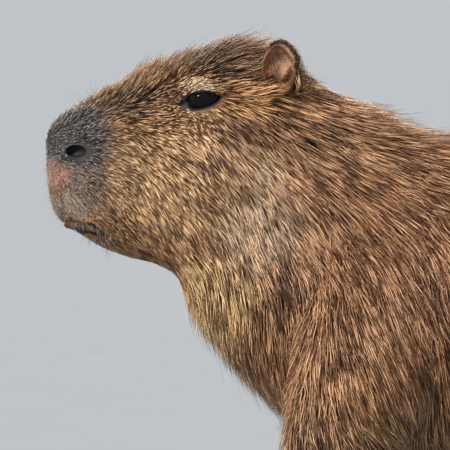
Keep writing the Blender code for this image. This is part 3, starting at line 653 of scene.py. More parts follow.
def settle(mesh):
    """Puts the points and faces in one order, because the operators don't always leave the same."""
    points = points_of(mesh)
    order = np.lexsort(points.T[::-1])
    number = np.empty(len(order), int)
    number[order] = np.arange(len(order))
    corners = np.empty(len(mesh.loops), np.int32)
    mesh.loops.foreach_get("vertex_index", corners)
    corners = number[corners]
    starts = np.empty(len(mesh.polygons), np.int32)
    sizes = np.empty(len(mesh.polygons), np.int32)
    mesh.polygons.foreach_get("loop_start", starts)
    mesh.polygons.foreach_get("loop_total", sizes)
    flat = []
    totals = []
    for size in np.unique(sizes):
        faces = corners[starts[sizes == size][:, None] + np.arange(size)]
        turn = faces.argmin(1)[:, None] + np.arange(size)
        faces = np.take_along_axis(faces, turn % size, 1)
        faces = faces[np.lexsort(faces.T[::-1])]
        flat.append(faces.ravel())
        totals.append(np.full(len(faces), size))
    fill_mesh(mesh, points[order], np.concatenate(flat), np.concatenate(totals))


def fill_mesh(mesh, points, corners, totals):
    """Gives a mesh these points, and faces with so many corners each."""
    mesh.clear_geometry()
    mesh.vertices.add(len(points))
    mesh.vertices.foreach_set("co", points.astype(np.float32).ravel())
    mesh.loops.add(len(corners))
    mesh.loops.foreach_set("vertex_index", corners.astype(np.int32))
    mesh.polygons.add(len(totals))
    mesh.polygons.foreach_set("loop_start", (np.cumsum(totals) - totals).astype(np.int32))
    mesh.update(calc_edges=True)


def show(name, data):
    """A new object in the scene with this mesh, light or camera."""
    made = bpy.data.objects.new(name, data)
    bpy.context.scene.collection.objects.link(made)
    return made


def finish_mesh(name, bm):
    """The bmesh as an object whose faces all point out."""
    bmesh.ops.recalc_face_normals(bm, faces=bm.faces[:])
    mesh = bpy.data.meshes.new(name)
    bm.to_mesh(mesh)
    bm.free()
    settle(mesh)
    return show(name, mesh)


def apply_modifiers(obj):
    graph = bpy.context.evaluated_depsgraph_get()
    mesh = bpy.data.meshes.new_from_object(obj.evaluated_get(graph))
    obj.modifiers.clear()
    old = obj.data
    obj.data = mesh
    bpy.data.meshes.remove(old)
    settle(mesh)


def remesh(obj, grain):
    """Draws one closed skin round all that is in the object."""
    grid = obj.modifiers.new("one_skin", "REMESH")
    grid.mode = "VOXEL"
    grid.voxel_size = grain
    apply_modifiers(obj)


def combine(kept, others, operation):
    """Joins the others to the kept object or cuts them from it."""
    group = bpy.data.collections.new("tools")
    for other in others:
        group.objects.link(other)
    change = kept.modifiers.new("combine", "BOOLEAN")
    change.operation = operation
    change.solver = "MANIFOLD"
    change.operand_type = "COLLECTION"
    change.collection = group
    apply_modifiers(kept)
    for other in others:
        bpy.data.objects.remove(other, do_unlink=True)
    bpy.data.collections.remove(group)


def points_of(mesh):
    points = np.empty(len(mesh.vertices) * 3, np.float32)
    mesh.vertices.foreach_get("co", points)
    return points.reshape(-1, 3).astype(float)


def normals_of(mesh):
    normals = np.empty(len(mesh.vertices) * 3, np.float32)
    mesh.vertex_normals.foreach_get("vector", normals)
    return normals.reshape(-1, 3).astype(float)


def move_points(mesh, points):
    mesh.vertices.foreach_set("co", points.astype(np.float32).ravel())
    mesh.update()


def in_side_view(points):
    """How far behind the nose and how high above the floor each point is."""
    return points[:, 0] / MM + MIDDLE, points[:, 2] / MM


def ramp(value, low, high):
    """0 at low, 1 at high, and smooth between."""
    share = np.clip((value - low) / (high - low), 0, 1)
    return share * share * (3 - 2 * share)


LIE = np.array(COAT, float)
LIE_FALL = np.radians(LIE[:, 2])


def coat_at(points):
    """The lie, length, rise and depth of the coat at each point: the nearest rows count most."""
    lies = np.empty((len(points), 3))
    sizes = np.empty((len(points), 3))
    for start in range(0, len(points), BATCH):
        part = slice(start, start + BATCH)
        behind, height = in_side_view(points[part])
        away = (LIE[:, 0] - behind[:, None]) ** 2 + (LIE[:, 1] - height[:, None]) ** 2
        weight = (away + BLEND_NEAR**2) ** -BLEND_POWER
        weight /= weight.sum(1)[:, None]
        lies[part, 0] = weight @ np.cos(LIE_FALL)
        lies[part, 1] = 0
        lies[part, 2] = -(weight @ np.sin(LIE_FALL))
        sizes[part] = weight @ LIE[:, 3:]
    return lies, *sizes.T


def toe_rings(root, heading, length):
    across = Vector((-heading.y, heading.x, 0))
    rings = []
    for share, height, girth in TOE_SHAPE:
        centre = root + heading * length * share * MM
        centre.z = height * MM
        ring = []
        for angle in turns(AROUND_TOE):
            wide = across * math.cos(angle)
            deep = Vector((0, 0, TOE_DEPTH * math.sin(angle)))
            ring.append(centre + (wide + deep) * TOE_RADIUS * girth * MM)
        rings.append(ring)
    return rings


def each_toe():
    """The foot's name, the toe's number, the toe's rings and the way it points."""
    for foot, (side, shift) in STANCE.items():
        kind, hand = foot.split("_")
        pad = (FORE if kind == "fore" else HIND)[-2]
        for k, toe in enumerate(TOES[kind]):
            angle = math.radians(toe.spread * side)
            heading = Vector((-math.cos(angle), math.sin(angle), 0))
            start = pad.behind + shift - pad.long * TOE_START
            root = place(start, side * (pad.side + toe.out), 0)
            yield f"{kind}foot_{hand}", k + 1, toe_rings(root, heading, toe.length), heading


def ball(name, centre, radii, turn=None, detail=24):
    bm = bmesh.new()
    bmesh.ops.create_uvsphere(bm, u_segments=2 * detail, v_segments=detail, radius=1)
    matrix = Matrix.Translation(centre)
    if turn:
        matrix = matrix @ turn
    matrix = matrix @ Matrix.Diagonal((*[r * MM for r in radii], 1))
    bmesh.ops.transform(bm, matrix=matrix, verts=bm.verts)
    return finish_mesh(name, bm)


def smooth(bm, verts):
    """Moves each point halfway to the middle of its neighbours."""
    bmesh.ops.smooth_vert(
        bm, verts=verts, factor=0.5, use_axis_x=True, use_axis_y=True, use_axis_z=True
    )


def smooth_near(obj, centre, reach, times):
    """Smooths the points of a mesh that are within reach of a place."""
    bm = bmesh.new()
    bm.from_mesh(obj.data)
    near = [vert for vert in bm.verts if (vert.co - centre).length < reach * MM]
    for _ in range(times):
        smooth(bm, near)
    bm.to_mesh(obj.data)
    bm.free()


def blend_legs_and_trunk(sizes):
    """The trunk, legs and toes as one closed mesh, and the forms it is blended from."""
    bm = bmesh.new()
    steps = TRUNK_STEPS * (len(BODY) - 1)
    tube(bm, [section(between(BODY, k / TRUNK_STEPS)) for k in range(steps + 1)])
    for foot, (side, shift) in STANCE.items():
        rows = FORE if foot.startswith("fore") else HIND
        rings = []
        for k in range(LIMB_STEPS * (len(rows) - 1) + 1):
            where = k / LIMB_STEPS
            share = min(where / FORE_MASS, 1)
            rings.append(level_ring(between(rows, where), side, shift * share))
        tube(bm, rings)
    for _, _, rings, _ in each_toe():
        tube(bm, rings)
    skin = finish_mesh("skin", bm)
    forms = tree_of(skin)
    remesh(skin, sizes.voxel)
    return skin, forms


def coarsen_trunk(skin):
    """Makes the skin coarser where the coat is long, because little of it shows there."""
    behind, height = in_side_view(points_of(skin.data))
    furry = np.flatnonzero((behind > LONG_COAT[0]) & (height > LONG_COAT[1]))
    group = skin.vertex_groups.new(name="furry")
    group.add(furry.tolist(), 1, "REPLACE")
    fewer = skin.modifiers.new("coarser", "DECIMATE")
    fewer.ratio = 1 - TRUNK_THINNING * len(furry) / len(behind)
    fewer.vertex_group = group.name
    apply_modifiers(skin)
    skin.vertex_groups.clear()


def keep_to_forms(skin, forms):
    """Brings the skin back to the forms it was blended from, but for the soft joints of the legs."""
    points = points_of(skin.data)
    spots, _ = nearest(forms, points)
    off = np.linalg.norm(spots - points, axis=1) / MM
    head = 1 - ramp(in_side_view(points)[0], *HEAD_END)
    share = np.maximum(1 - ramp(off, *JOINT_GIVE), head)
    move_points(skin.data, points + (spots - points) * share[:, None])


def smooth_all(skin, times):
    """Smooths the whole skin, the feet less than the rest."""
    bm = bmesh.new()
    bm.from_mesh(skin.data)
    upper = [vert for vert in bm.verts if vert.co.z > FOOT_TOP * MM]
    for k in range(times):
        smooth(bm, bm.verts[:] if k < FOOT_SMOOTHING else upper)
    bm.to_mesh(skin.data)
    bm.free()


def sink_under_coat(skin):
    """Moves the skin in by the depth of the coat, and sets the soles on the floor."""
    points = points_of(skin.data)
    depth = coat_at(points)[3]
    points -= normals_of(skin.data) * depth[:, None] * MM
    points[:, 2] = np.where(points[:, 2] < SOLE * MM, 0, points[:, 2])
    move_points(skin.data, points)


def refine_head(skin):
    """Makes the mesh finer on the face, and finer still on the muzzle and round the eyes."""
    bm = bmesh.new()
    bm.from_mesh(skin.data)
    eyes = list(EYE_CENTRES.values())
    for back, low, reach in FINE_SKIN:

        def near(vert):
            ahead = vert.co.x < (back - MIDDLE) * MM and vert.co.z > low * MM
            return ahead or min((vert.co - eye).length for eye in eyes) < reach * MM

        edges = [edge for edge in bm.edges if near(edge.verts[0]) and near(edge.verts[1])]
        bmesh.ops.subdivide_edges(bm, edges=edges, cuts=1, use_grid_fill=True)
        smooth(bm, [vert for vert in bm.verts if near(vert)])
    bm.to_mesh(skin.data)
    bm.free()
    settle(skin.data)


def shape_face(skin):
    """Raises and sinks the skin by the swells of the face."""
    points = points_of(skin.data)
    normals = normals_of(skin.data)
    behind, height = in_side_view(points)
    rise = np.zeros(len(points))
    for swell in FACE:
        along = (behind - swell.behind) / swell.long
        up = (height - swell.height) / swell.high
        edge = swell.beside - SWELL_EDGE, swell.beside + SWELL_EDGE
        beside = ramp(np.abs(points[:, 1]) / MM, *edge)
        fade = np.exp(-SWELL_FADE * (along**2 + up**2))
        rise += swell.rise * fade * (beside if swell.beside else 1)
    points += normals * rise[:, None] * MM
    move_points(skin.data, points)


def surface_at(tree, behind, height, side):
    """The point of the skin's side at a place in side view."""
    return tree.ray_cast(place(behind, side * 300, height), Vector((0, -side, 0)))[0]


def tree_of(obj):
    return BVHTree.FromPolygons(
        [vert.co for vert in obj.data.vertices], [face.vertices for face in obj.data.polygons]
    )


def nearest(tree, points):
    """The nearest place of the skin to each point, and the way it faces there."""
    spots = np.empty_like(points)
    normals = np.empty_like(points)
    for k, point in enumerate(points.tolist()):
        spots[k], normals[k] = tree.find_nearest(point)[:2]
    return spots, normals


def slit_point(angle, off=0.0):
    """A point so far off the outline of the eye's opening: along the slit and up, from its middle."""
    long = math.cos(angle) * (EYE_SLIT[0] / 2 + off)
    high = math.sin(angle) * abs(math.sin(angle)) ** EYE_SHUT * EYE_SLIT[1] / 2
    return long, high + off * math.sin(angle)


def on_slit(long, high):
    """The point in the middle of the body that is level with a place along and up the slit."""
    tilt = math.radians(EYE_TILT)
    behind = EYE_SLIT_MIDDLE[0] + long * math.cos(tilt) - high * math.sin(tilt)
    return place(behind, 0, EYE_SLIT_MIDDLE[1] + long * math.sin(tilt) + high * math.cos(tilt))


def along_and_up(behind, height):
    """How far along the slit of the eye and up from it a place in side view lies."""
    tilt = math.radians(EYE_TILT)
    back, over = behind - EYE_SLIT_MIDDLE[0], height - EYE_SLIT_MIDDLE[1]
    along = back * math.cos(tilt) + over * math.sin(tilt)
    return along, over * math.cos(tilt) - back * math.sin(tilt)


def out_to_skin(tree, point, side):
    """How far out from the middle of the body the skin lies at a point in side view."""
    hit = tree.ray_cast(point + Vector((0, side * 0.3, 0)), Vector((0, -side, 0)))[0]
    return abs(hit.y) / MM if hit else 0


def slit_tool(tree, side):
    """The almond that is cut out between the lids."""
    rings = []
    for k in range(SLIT_STEPS + 1):
        angle = math.pi * (1 - (k + SLIT_END) / (SLIT_STEPS + 2 * SLIT_END))
        long, high = slit_point(angle)
        out = out_to_skin(tree, on_slit(long, 0), side)
        deep = SLIT_DEEP[0] + SLIT_DEEP[1] * math.sin(angle) ** 1.5
        ring = []
        for turn in turns(SLIT_ROUND):
            point = on_slit(long, high * math.sin(turn))
            ring.append(point + Vector((0, side * (out + deep * math.cos(turn)) * MM, 0)))
        rings.append(ring)
    bm = bmesh.new()
    tube(bm, rings)
    return finish_mesh("slit", bm)


def rim_of_lids(tree, side, centre):
    """The thin bare rim that the lids lay on the eyeball, thicker above than below."""
    rings = []
    for angle in turns(RIM_STEPS):
        point = on_slit(*slit_point(angle, RIM_OFF))
        out = out_to_skin(tree, point, side)
        flat = (point - Vector((centre.x, 0, centre.z))).length / MM
        over_ball = abs(centre.y) / MM + math.sqrt(max(EYE_RADIUS**2 - flat**2, 0))
        outward = (on_slit(*slit_point(angle, RIM_OFF + 1)) - point).normalized()
        point.y = side * (max(over_ball + RIM_OVER_BALL, out - RIM_SUNK)) * MM
        radius = RIM_RADIUS * (0.8 + 0.4 * max(math.sin(angle), 0))
        ring = []
        for turn in turns(RIM_ROUND):
            spoke = outward * math.cos(turn) + Vector((0, side, 0)) * math.sin(turn)
            ring.append(point + spoke * radius * MM)
        rings.append(ring)
    bm = bmesh.new()
    tube(bm, rings, closed=True)
    return finish_mesh("rim", bm)


def make_eye_opening(skin, side, centre):
    """Lids round the eyeball, an almond slit between them, and the room of the ball behind."""
    combine(skin, [ball("lids", centre, [EYE_RADIUS + LID_THICK] * 3)], "UNION")
    smooth_near(skin, centre + Vector((0, side * EYE_RADIUS * MM, 0)), *LID_SMOOTHING)
    tree = tree_of(skin)
    combine(skin, [slit_tool(tree, side)], "DIFFERENCE")
    combine(skin, [ball("room", centre, [EYE_RADIUS + EYE_ROOM] * 3)], "DIFFERENCE")
    combine(skin, [rim_of_lids(tree, side, centre)], "UNION")


def make_nostril(skin, side):
    """The wing round a nostril, and the hole that slants in towards the front."""
    surface = surface_at(tree_of(skin), *NOSTRIL, side)
    turn = Matrix.Rotation(math.radians(NOSTRIL_TILT), 4, "Y")
    wing = ball("wing", surface - Vector((0, side * WING_SUNK * MM, 0)), NOSTRIL_WING, turn)
    combine(skin, [wing], "UNION")
    smooth_near(skin, surface, *WING_SMOOTHING)
    surface = surface_at(tree_of(skin), *NOSTRIL, side)
    slanted = turn @ Matrix.Rotation(math.radians(side * NOSTRIL_SLANT), 4, "Z")
    combine(skin, [ball("hole", surface, NOSTRIL_HOLE, slanted)], "DIFFERENCE")
    smooth_near(skin, surface, *HOLE_SMOOTHING)


def lip_line(share):
    """The place of the mouth's line in side view, from the front to a corner."""
    behind = LIP_FRONT[0] + (LIP_CORNER[0] - LIP_FRONT[0]) * share
    height = LIP_FRONT[1] + (LIP_CORNER[1] - LIP_FRONT[1]) * share
    return behind, height - LIP_SAG * np.sin(np.pi * share)


def lip_gape(share):
    """How far the lips stand off their line, from the front to a corner."""
    return np.interp(share, (0, LIP_GAPE, 1), LIP_GROOVE)


def make_mouth(skin):
    """The line of the mouth: a groove from one corner round the front to the other."""
    tree = tree_of(skin)
    halves = []
    for _, side in SIDES:
        found = [(surface_at(tree, *lip_line(k), side), k) for k in np.linspace(0, 1, LIP_STEPS)]
        halves.append([(point, share) for point, share in found if point])
    path = halves[0][::-1] + halves[1]
    rings = []
    for k, (point, share) in enumerate(path):
        ahead = path[min(k + 1, len(path) - 1)][0] - path[max(k - 1, 0)][0]
        across = ahead.cross(Vector((0, 0, 1))).normalized()
        up = across.cross(ahead).normalized()
        gape = lip_gape(share)
        ring = []
        for turn in turns(LIP_ROUND):
            spoke = across * math.cos(turn) * (gape * LIP_DEPTH) + up * math.sin(turn) * gape
            ring.append(point + spoke * MM)
        rings.append(ring)
    bm = bmesh.new()
    tube(bm, rings)
    combine(skin, [finish_mesh("mouth", bm)], "DIFFERENCE")


def ear_pose(side):
    lean = Matrix.Rotation(math.radians(-side * EAR_LEAN), 4, "X")
    return Matrix.Rotation(math.radians(side * EAR_TURN), 4, "Z") @ lean


def make_ear(skin, side):
    """A small round cup with a thick soft rim and a fold inside, joined to the skin."""
    centre = place(EAR[0], side * EAR[1], EAR[2])
    pose = ear_pose(side)
    shift = Matrix.Diagonal((1, side, 1, 1)).to_3x3() @ Vector(EAR_CUP_SHIFT) * MM
    ear = ball("ear", Vector(), EAR_HALF, None, FINE_BALL)
    combine(ear, [ball("cup", shift, EAR_CUP_HALF, None, FINE_BALL)], "DIFFERENCE")
    fold = Vector((EAR_FOLD[0], side * EAR_FOLD[1], EAR_FOLD[2])) * MM
    turn = Matrix.Rotation(EAR_FOLD_TURN, 4, "Y")
    combine(ear, [ball("fold", fold, EAR_FOLD_HALF, turn)], "UNION")
    remesh(ear, EAR_GRAIN * MM)
    smooth_near(ear, Vector(), *EAR_SMOOTHING)
    points = points_of(ear.data) / MM
    x, z = points[:, 0], points[:, 2]
    points[:, 0] = x * (1 - EAR_NARROW[0] * ramp(z, *EAR_NARROW[1:])) + EAR_SWEEP * z
    deep, high, wide = EAR_NOTCH
    points[:, 0] -= deep * np.exp(-(((z - high) / wide) ** 2)) * ramp(x, *EAR_NOTCH_EDGE)
    points = points @ np.array(pose.to_3x3()).T * MM + np.array(centre)
    move_points(ear.data, points)
    combine(skin, [ear], "UNION")
    foot = centre - pose.to_3x3() @ Vector((0, 0, EAR_FOOT)) * MM
    smooth_near(skin, foot, *EAR_FOOT_SMOOTHING)


class Socket:
    """A value in a material that Python's operators work on, each adding one Math node."""

    def __init__(self, finish, link):
        self.finish = finish
        self.link = link

    def __add__(self, other):
        return self.finish.math("ADD", self, other)

    __radd__ = __add__

    def __sub__(self, other):
        return self.finish.math("SUBTRACT", self, other)

    def __rsub__(self, other):
        return self.finish.math("SUBTRACT", other, self)

    def __mul__(self, other):
        return self.finish.math("MULTIPLY", self, other)

    __rmul__ = __mul__

    def __truediv__(self, other):
        return self.finish.math("DIVIDE", self, other)

    def __rtruediv__(self, other):
        return self.finish.math("DIVIDE", other, self)

    def __pow__(self, other):
        return self.finish.math("POWER", self, other)


class Finish:
    """A material under construction."""

    def __init__(self, name, roughness, specular=0.5):
        self.material = bpy.data.materials.new(name)
        self.material.use_nodes = True
        self.nodes = self.material.node_tree.nodes
        self.links = self.material.node_tree.links
        self.shader = self.nodes["Principled BSDF"]
        self.shader.inputs["Roughness"].default_value = roughness
        self.shader.inputs["Specular IOR Level"].default_value = specular

    def put(self, socket, value):
        """Links a socket to a value of the material, or sets it to a number or a colour."""
        if isinstance(value, Socket):
            self.links.new(value.link, socket)
        elif isinstance(value, bpy.types.NodeSocket):
            self.links.new(value, socket)
        elif socket.type == "RGBA":
            socket.default_value = (*value, 1)
        else:
            socket.default_value = value

    def add(self, kind, settings, values):
        node = self.nodes.new(kind)
        for name, value in settings.items():
            setattr(node, name, value)
        for name, value in values.items():
            self.put(node.inputs[name], value)
        return node

    def math(self, operation, *values):
        node = self.add("ShaderNodeMath", {"operation": operation}, dict(enumerate(values)))
        return Socket(self, node.outputs[0])

    def vector_math(self, operation, *values):
        settings = {"operation": operation}
        return self.add("ShaderNodeVectorMath", settings, dict(enumerate(values))).outputs[0]

    def mix(self, share, one, two, way="MIX"):
        node = self.add(
            "ShaderNodeMix",
            {"data_type": "RGBA", "blend_type": way, "clamp_result": True},
            {0: share, 6: one, 7: two},
        )
        return node.outputs[2]

    def step(self, value, low, high):
        """0 below low, 1 above high, and smooth between."""
        values = {"Value": value, "From Min": low, "From Max": high}
        node = self.add("ShaderNodeMapRange", {"interpolation_type": "SMOOTHSTEP"}, values)
        return Socket(self, node.outputs["Result"])

    def place(self):
        return self.add("ShaderNodeTexCoord", {}, {}).outputs["Object"]

    def noise(self, where, scale, detail=2.0, kind="Factor"):
        values = {"Vector": where, "Scale": scale, "Detail": detail}
        node = self.add("ShaderNodeTexNoise", {}, values)
        return node.outputs[1] if kind == "Color" else Socket(self, node.outputs[0])

    def attribute(self, name):
        node = self.add("ShaderNodeAttribute", {"attribute_name": name}, {})
        return Socket(self, node.outputs["Fac"])

    def bump(self, height, distance, strength=1.0):
        values = {"Height": height, "Distance": distance, "Strength": strength}
        node = self.add("ShaderNodeBump", {}, values)
        self.put(self.shader.inputs["Normal"], node.outputs["Normal"])

    def paint(self, colour):
        self.put(self.shader.inputs["Base Color"], colour)


def side_place(finish, where):
    """How far behind the nose and how high a point of the surface is, and how far out."""
    node = finish.add("ShaderNodeSeparateXYZ", {}, {"Vector": where})
    x, y, z = (Socket(finish, out) for out in node.outputs)
    return x * (1 / MM) + MIDDLE, z * (1 / MM), finish.math("ABSOLUTE", y) * (1 / MM)


def spot(finish, behind, height, centre, size, soft):
    """1 at a place in side view, falling to 0 at an ellipse round it."""
    across = (behind - centre[0]) / size[0]
    up = (height - centre[1]) / size[1]
    return 1 - finish.step(across * across + up * up, soft, 1)


def markings(finish, where):
    """The colour of the hide, for skin and coat alike."""
    wander = finish.noise(where, 16, 2, "Color")
    moved = finish.vector_math("MULTIPLY_ADD", wander, (WANDER,) * 3, where)
    moved = finish.vector_math("SUBTRACT", moved, (WANDER / 2,) * 3)
    behind, height, _ = side_place(finish, moved)
    colour = HIDE
    for mark in MARKS:
        centre = (mark.behind, mark.height)
        share = spot(finish, behind, height, centre, (mark.long, mark.high), mark.soft)
        colour = finish.mix(share * mark.share, colour, mark.colour)
    behind, height, beside = side_place(finish, where)
    cleft = spot(finish, behind, height, *CLEFT)
    cleft = cleft * (1 - finish.step(beside, *CLEFT_EDGE))
    colour = finish.mix(cleft * 0.8, colour, CLEFT_COLOUR)
    patches = finish.step(finish.noise(where, 26, 3), 0.42, 0.62)
    return finish.mix(patches * 0.35, colour, (0.5, 0.42, 0.36), "MULTIPLY")


def paint_lids(finish, behind, height, colour, rim):
    """The colour with the dark rims of the lids, and the corner of the eye between them."""
    along, up = along_and_up(behind, height)
    half = EYE_SLIT[0] / 2
    share = finish.math("MAXIMUM", 1 - along * along / half**2, 0)
    off = finish.math("ABSOLUTE", up) - share ** ((1 + EYE_SHUT) / 2) * (EYE_SLIT[1] / 2)
    ends = 1 - finish.step(finish.math("ABSOLUTE", along), half, half + 3)
    eye = (1 - finish.step(off, 0.6, 1.6)) * ends
    colour = finish.mix(eye, colour, rim)
    corner = (1 - finish.step(off, -1.5, 0.4)) * (1 - finish.step(along, -11, -8))
    return finish.mix(corner * eye, colour, EYE_CORNER)


def ear_colour(finish, where, behind, height, inside):
    """The mottled cup of the ear, with a paler middle, a dark rear rim and painted shade in its
    hollow.
    """
    across = (behind - EAR[0] + 1) / EAR_HALF[0]
    up = (height - EAR[2] - 1) / (EAR_HALF[2] - 1.5)
    out = across * across + up * up
    cup = finish.mix(spot(finish, behind, height, *EAR_MIDDLE) * 0.8, inside, EAR_PALE)
    cup = finish.mix(finish.step(finish.noise(where, 90, 3), 0.35, 0.6), EAR_MOTTLE, cup)
    cup = finish.mix(finish.noise(where, 300, 3) * 0.6, cup, EAR_SHADE, "MULTIPLY")
    rear = finish.step(behind - EAR[0] + 0.6 * (height - EAR[2]), -10, 2)
    cup = finish.mix(finish.step(out, 0.45, 0.72) * rear, cup, EAR_REAR)
    # Painted shade in the hollow of the ear.
    return finish.mix(spot(finish, behind, height, *EAR_HOLLOW), cup, EAR_CANAL_SHADE)


def skin_finish(sizes):
    """Skin darkened by painted shade where the coat is long, and grained bare skin on the nose, lids
    and ears.
    """
    finish = Finish("hide", 0.62, 0.2)
    where = finish.place()
    behind, height, beside = side_place(finish, where)
    colour = markings(finish, where)
    bare_nose = spot(finish, behind, height, *NOSE_SKIN)
    # Painted shade: the skin under the long coat is darkened, for the shade in the gaps between the
    # hairs.
    coat_shade_mask = finish.step(behind, 38, 70) * finish.step(height, 190, 250) * (1 - bare_nose)
    colour = finish.mix(coat_shade_mask, colour, SHADE_UNDER_COAT, "MULTIPLY")
    colour = paint_lids(finish, behind, height, colour, tuple(sizes.rim))
    # Painted shade: the nostril's hole and the wing round it are painted near black.
    nostril = spot(finish, behind, height, *NOSTRIL_SHADE_PATCH)
    colour = finish.mix(nostril, colour, NOSTRIL_SHADE_COLOUR)
    ear = spot(finish, behind, height, *EAR_SKIN)
    ear = ear * finish.step(beside, 30, 35) * finish.step(height, 508, 515)
    cup = ear_colour(finish, where, behind, height, tuple(sizes.ear))
    colour = finish.mix(ear, colour, cup)
    grain = finish.noise(where, 900, 3)
    pores = finish.add("ShaderNodeTexVoronoi", {}, {"Vector": where, "Scale": 620.0})
    pore = Socket(finish, pores.outputs["Distance"])
    colour = finish.mix(finish.step(pore, 0.1, 0.5) * 0.3, colour, PORE_LIGHT, "MULTIPLY")
    finish.paint(colour)
    finish.bump(grain * 0.6 + pore * 0.8, 0.0006, 0.7)
    finish.put(finish.shader.inputs["Roughness"], 0.72 - 0.2 * nostril)
    return finish.material


def coat_finish(colours):
    """Hair that is dark at its foot and pale at its tip, over the markings of the hide."""
    finish = Finish("hair", 0.42, 0.4)
    where = finish.place()
    behind, height, _ = side_place(finish, where)
    nose = spot(finish, behind, height, *NOSE_HAIR)
    short = finish.math("MAXIMUM", nose, spot(finish, behind, height, *LID_FUR))
    colour = markings(finish, where)
    along = finish.attribute("along")
    shade = finish.attribute("shade")
    tone = finish.attribute("tone")
    red = finish.step(tone, 0.5, 0.8) * 0.5
    colour = finish.mix(red, colour, finish.mix(0.6, colour, tuple(colours.red)))
    lid = spot(finish, behind, height, *LID_PALE)
    buff = spot(finish, behind, height, *BUFF)
    even = finish.math("MAXIMUM", lid * 0.8, buff * 0.6)
    dark = (1 - finish.step(shade, 0.22, 0.48)) * 0.94 * (1 - even)
    colour = finish.mix(dark, colour, HAIR_SHADE, "MULTIPLY")
    foot = (1 - finish.step(along, 0.05, 0.55)) * (1 - short * 0.8)
    colour = finish.mix(foot * 0.88, colour, tuple(colours.root))
    tip = finish.mix(nose, tuple(colours.tip), NOSE_TIP)
    lit = finish.mix(0.45, colour, tip)
    lit = finish.mix(1, lit, (LIT,) * 3, "MULTIPLY")
    crown = spot(finish, behind, height, *CROWN)
    pale = finish.step(along, 0.12, 0.7) * finish.step(shade, 0.38, 0.76) * (1 - crown * 0.3)
    finish.paint(finish.mix(pale, colour, lit))
    return finish.material


def eye_finish():
    """A dark brown iris round a black pupil, wet and glossy."""
    finish = Finish("eye", 0.05, 0.14)
    behind, height, _ = side_place(finish, finish.place())
    across, up = behind - EYE_PLACE[0], height - EYE_PLACE[1]
    away = finish.math("SQRT", across * across + up * up)
    fibres = finish.noise(finish.place(), 700, 2)
    iris = finish.mix(fibres, (0.005, 0.003, 0.002), (0.003, 0.002, 0.0015))
    colour = finish.mix(finish.step(away, 4.6, 5.6), (0.003, 0.003, 0.003), iris)
    colour = finish.mix(finish.step(away, 9.5, 11.5), colour, (0.006, 0.005, 0.005))
    finish.paint(colour)
    return finish.material


def claw_finish(sizes):
    """Dark horn with a fine paler grain along it."""
    finish = Finish("horn", 0.42, 0.5)
    stretch = {"Vector": finish.place(), "Scale": (120.0, 900.0, 900.0)}
    grain = finish.noise(finish.add("ShaderNodeMapping", {}, stretch).outputs[0], 1, 3)
    finish.paint(finish.mix(grain, tuple(sizes.horn), (0.16, 0.13, 0.10)))
    finish.bump(grain, 0.0004, 0.6)
    return finish.material


class CAPYBARA_OT_skin(bpy.types.Operator):
    """Makes the one skin of the trunk, head, ears, legs and feet"""

    bl_idname = "capybara.skin"
    bl_label = "Skin"

    def execute(self, context):
        sizes = context.scene.capybara_skin
        skin, forms = blend_legs_and_trunk(sizes)
        smooth_all(skin, sizes.smoothing)
        coarsen_trunk(skin)
        refine_head(skin)
        keep_to_forms(skin, forms)
        sink_under_coat(skin)
        shape_face(skin)
        for hand, side in SIDES:
            make_eye_opening(skin, side, EYE_CENTRES[hand])
            make_nostril(skin, side)
        make_mouth(skin)
        for _, side in SIDES:
            make_ear(skin, side)
        skin.data.shade_smooth()
        skin.data.materials.clear()
        skin.data.materials.append(skin_finish(sizes))
        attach(skin, "root")
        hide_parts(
            *[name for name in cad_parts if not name.startswith(("eye", "claw"))]
        )
        return {"FINISHED"}


class CAPYBARA_OT_eyes(bpy.types.Operator):
    """Makes the two eyeballs"""

    bl_idname = "capybara.eyes"
    bl_label = "Eyes"

    def execute(self, context):
        material = eye_finish()
        for hand, _ in SIDES:
            eye = ball(f"eyeball_{hand}", EYE_CENTRES[hand], [EYE_RADIUS] * 3, None, FINE_BALL)
            eye.data.shade_smooth()
            eye.data.materials.append(material)
            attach(eye, "root")
            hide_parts(f"eye_{hand}")
        return {"FINISHED"}


class CAPYBARA_OT_claws(bpy.types.Operator):
    """Makes the claws, one for each toe"""

    bl_idname = "capybara.claws"
    bl_label = "Claws"

    def execute(self, context):
        material = claw_finish(context.scene.capybara_skin)
        for foot, number, rings, heading in each_toe():
            face = rings[-1]
            centre = sum(face, Vector()) / len(face)
            sections = []
            for share, girth, drop in CLAW_SHAPE:
                shift = heading * (CLAW_GAP + share * CLAW_LENGTH) * MM
                shift -= Vector((0, 0, drop * MM))
                sections.append([centre + (point - centre) * girth + shift for point in face])
            tip = centre + heading * (CLAW_GAP + CLAW_LENGTH) * MM
            tip -= Vector((0, 0, CLAW_DROP * MM))
            bm = bmesh.new()
            tube(bm, sections, tip)
            claw = finish_mesh(f"horn_{foot}_{number}", bm)
            claw.data.shade_smooth()
            claw.data.materials.append(material)
            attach(claw, "root")
            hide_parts(f"claw_{foot}_{number}")
        return {"FINISHED"}


def unit(vectors):
    return vectors / np.maximum(np.linalg.norm(vectors, axis=1), 1e-12)[:, None]


def flatten(vectors, normals):
    """The part of each vector that lies along the skin, at length 1."""
    return unit(vectors - normals * (vectors * normals).sum(1)[:, None])


def turned(vectors, normals, angles):
    """Vectors along the skin, turned on it by these angles."""
    across = np.cross(normals, vectors)
    return vectors * np.cos(angles)[:, None] + across * np.sin(angles)[:, None]


RISE_CURVE = 0.72  # below 1 a tuft rises near its root
OVER_FLOOR = 0.4


def comb(tree, roots, lies, length, rise, shares, sink):
    """Lays a line along the skin from each root, from just under it to its rise at the tip."""
    points = roots.copy()
    done = 0.0
    lines = np.empty((len(roots), len(shares), 3))
    outward = np.empty_like(lines)
    for k, share in enumerate(shares):
        points = points + lies * (length * (share - done))[:, None]
        done = share
        points, normals = nearest(tree, points)
        lies = flatten(lies, normals)
        height = -sink + (rise + sink) * share**RISE_CURVE
        lines[:, k] = points + normals * height[:, None]
        lines[:, k, 2] = np.maximum(lines[:, k, 2], OVER_FLOOR * MM)
        outward[:, k] = normals
    return lines, outward


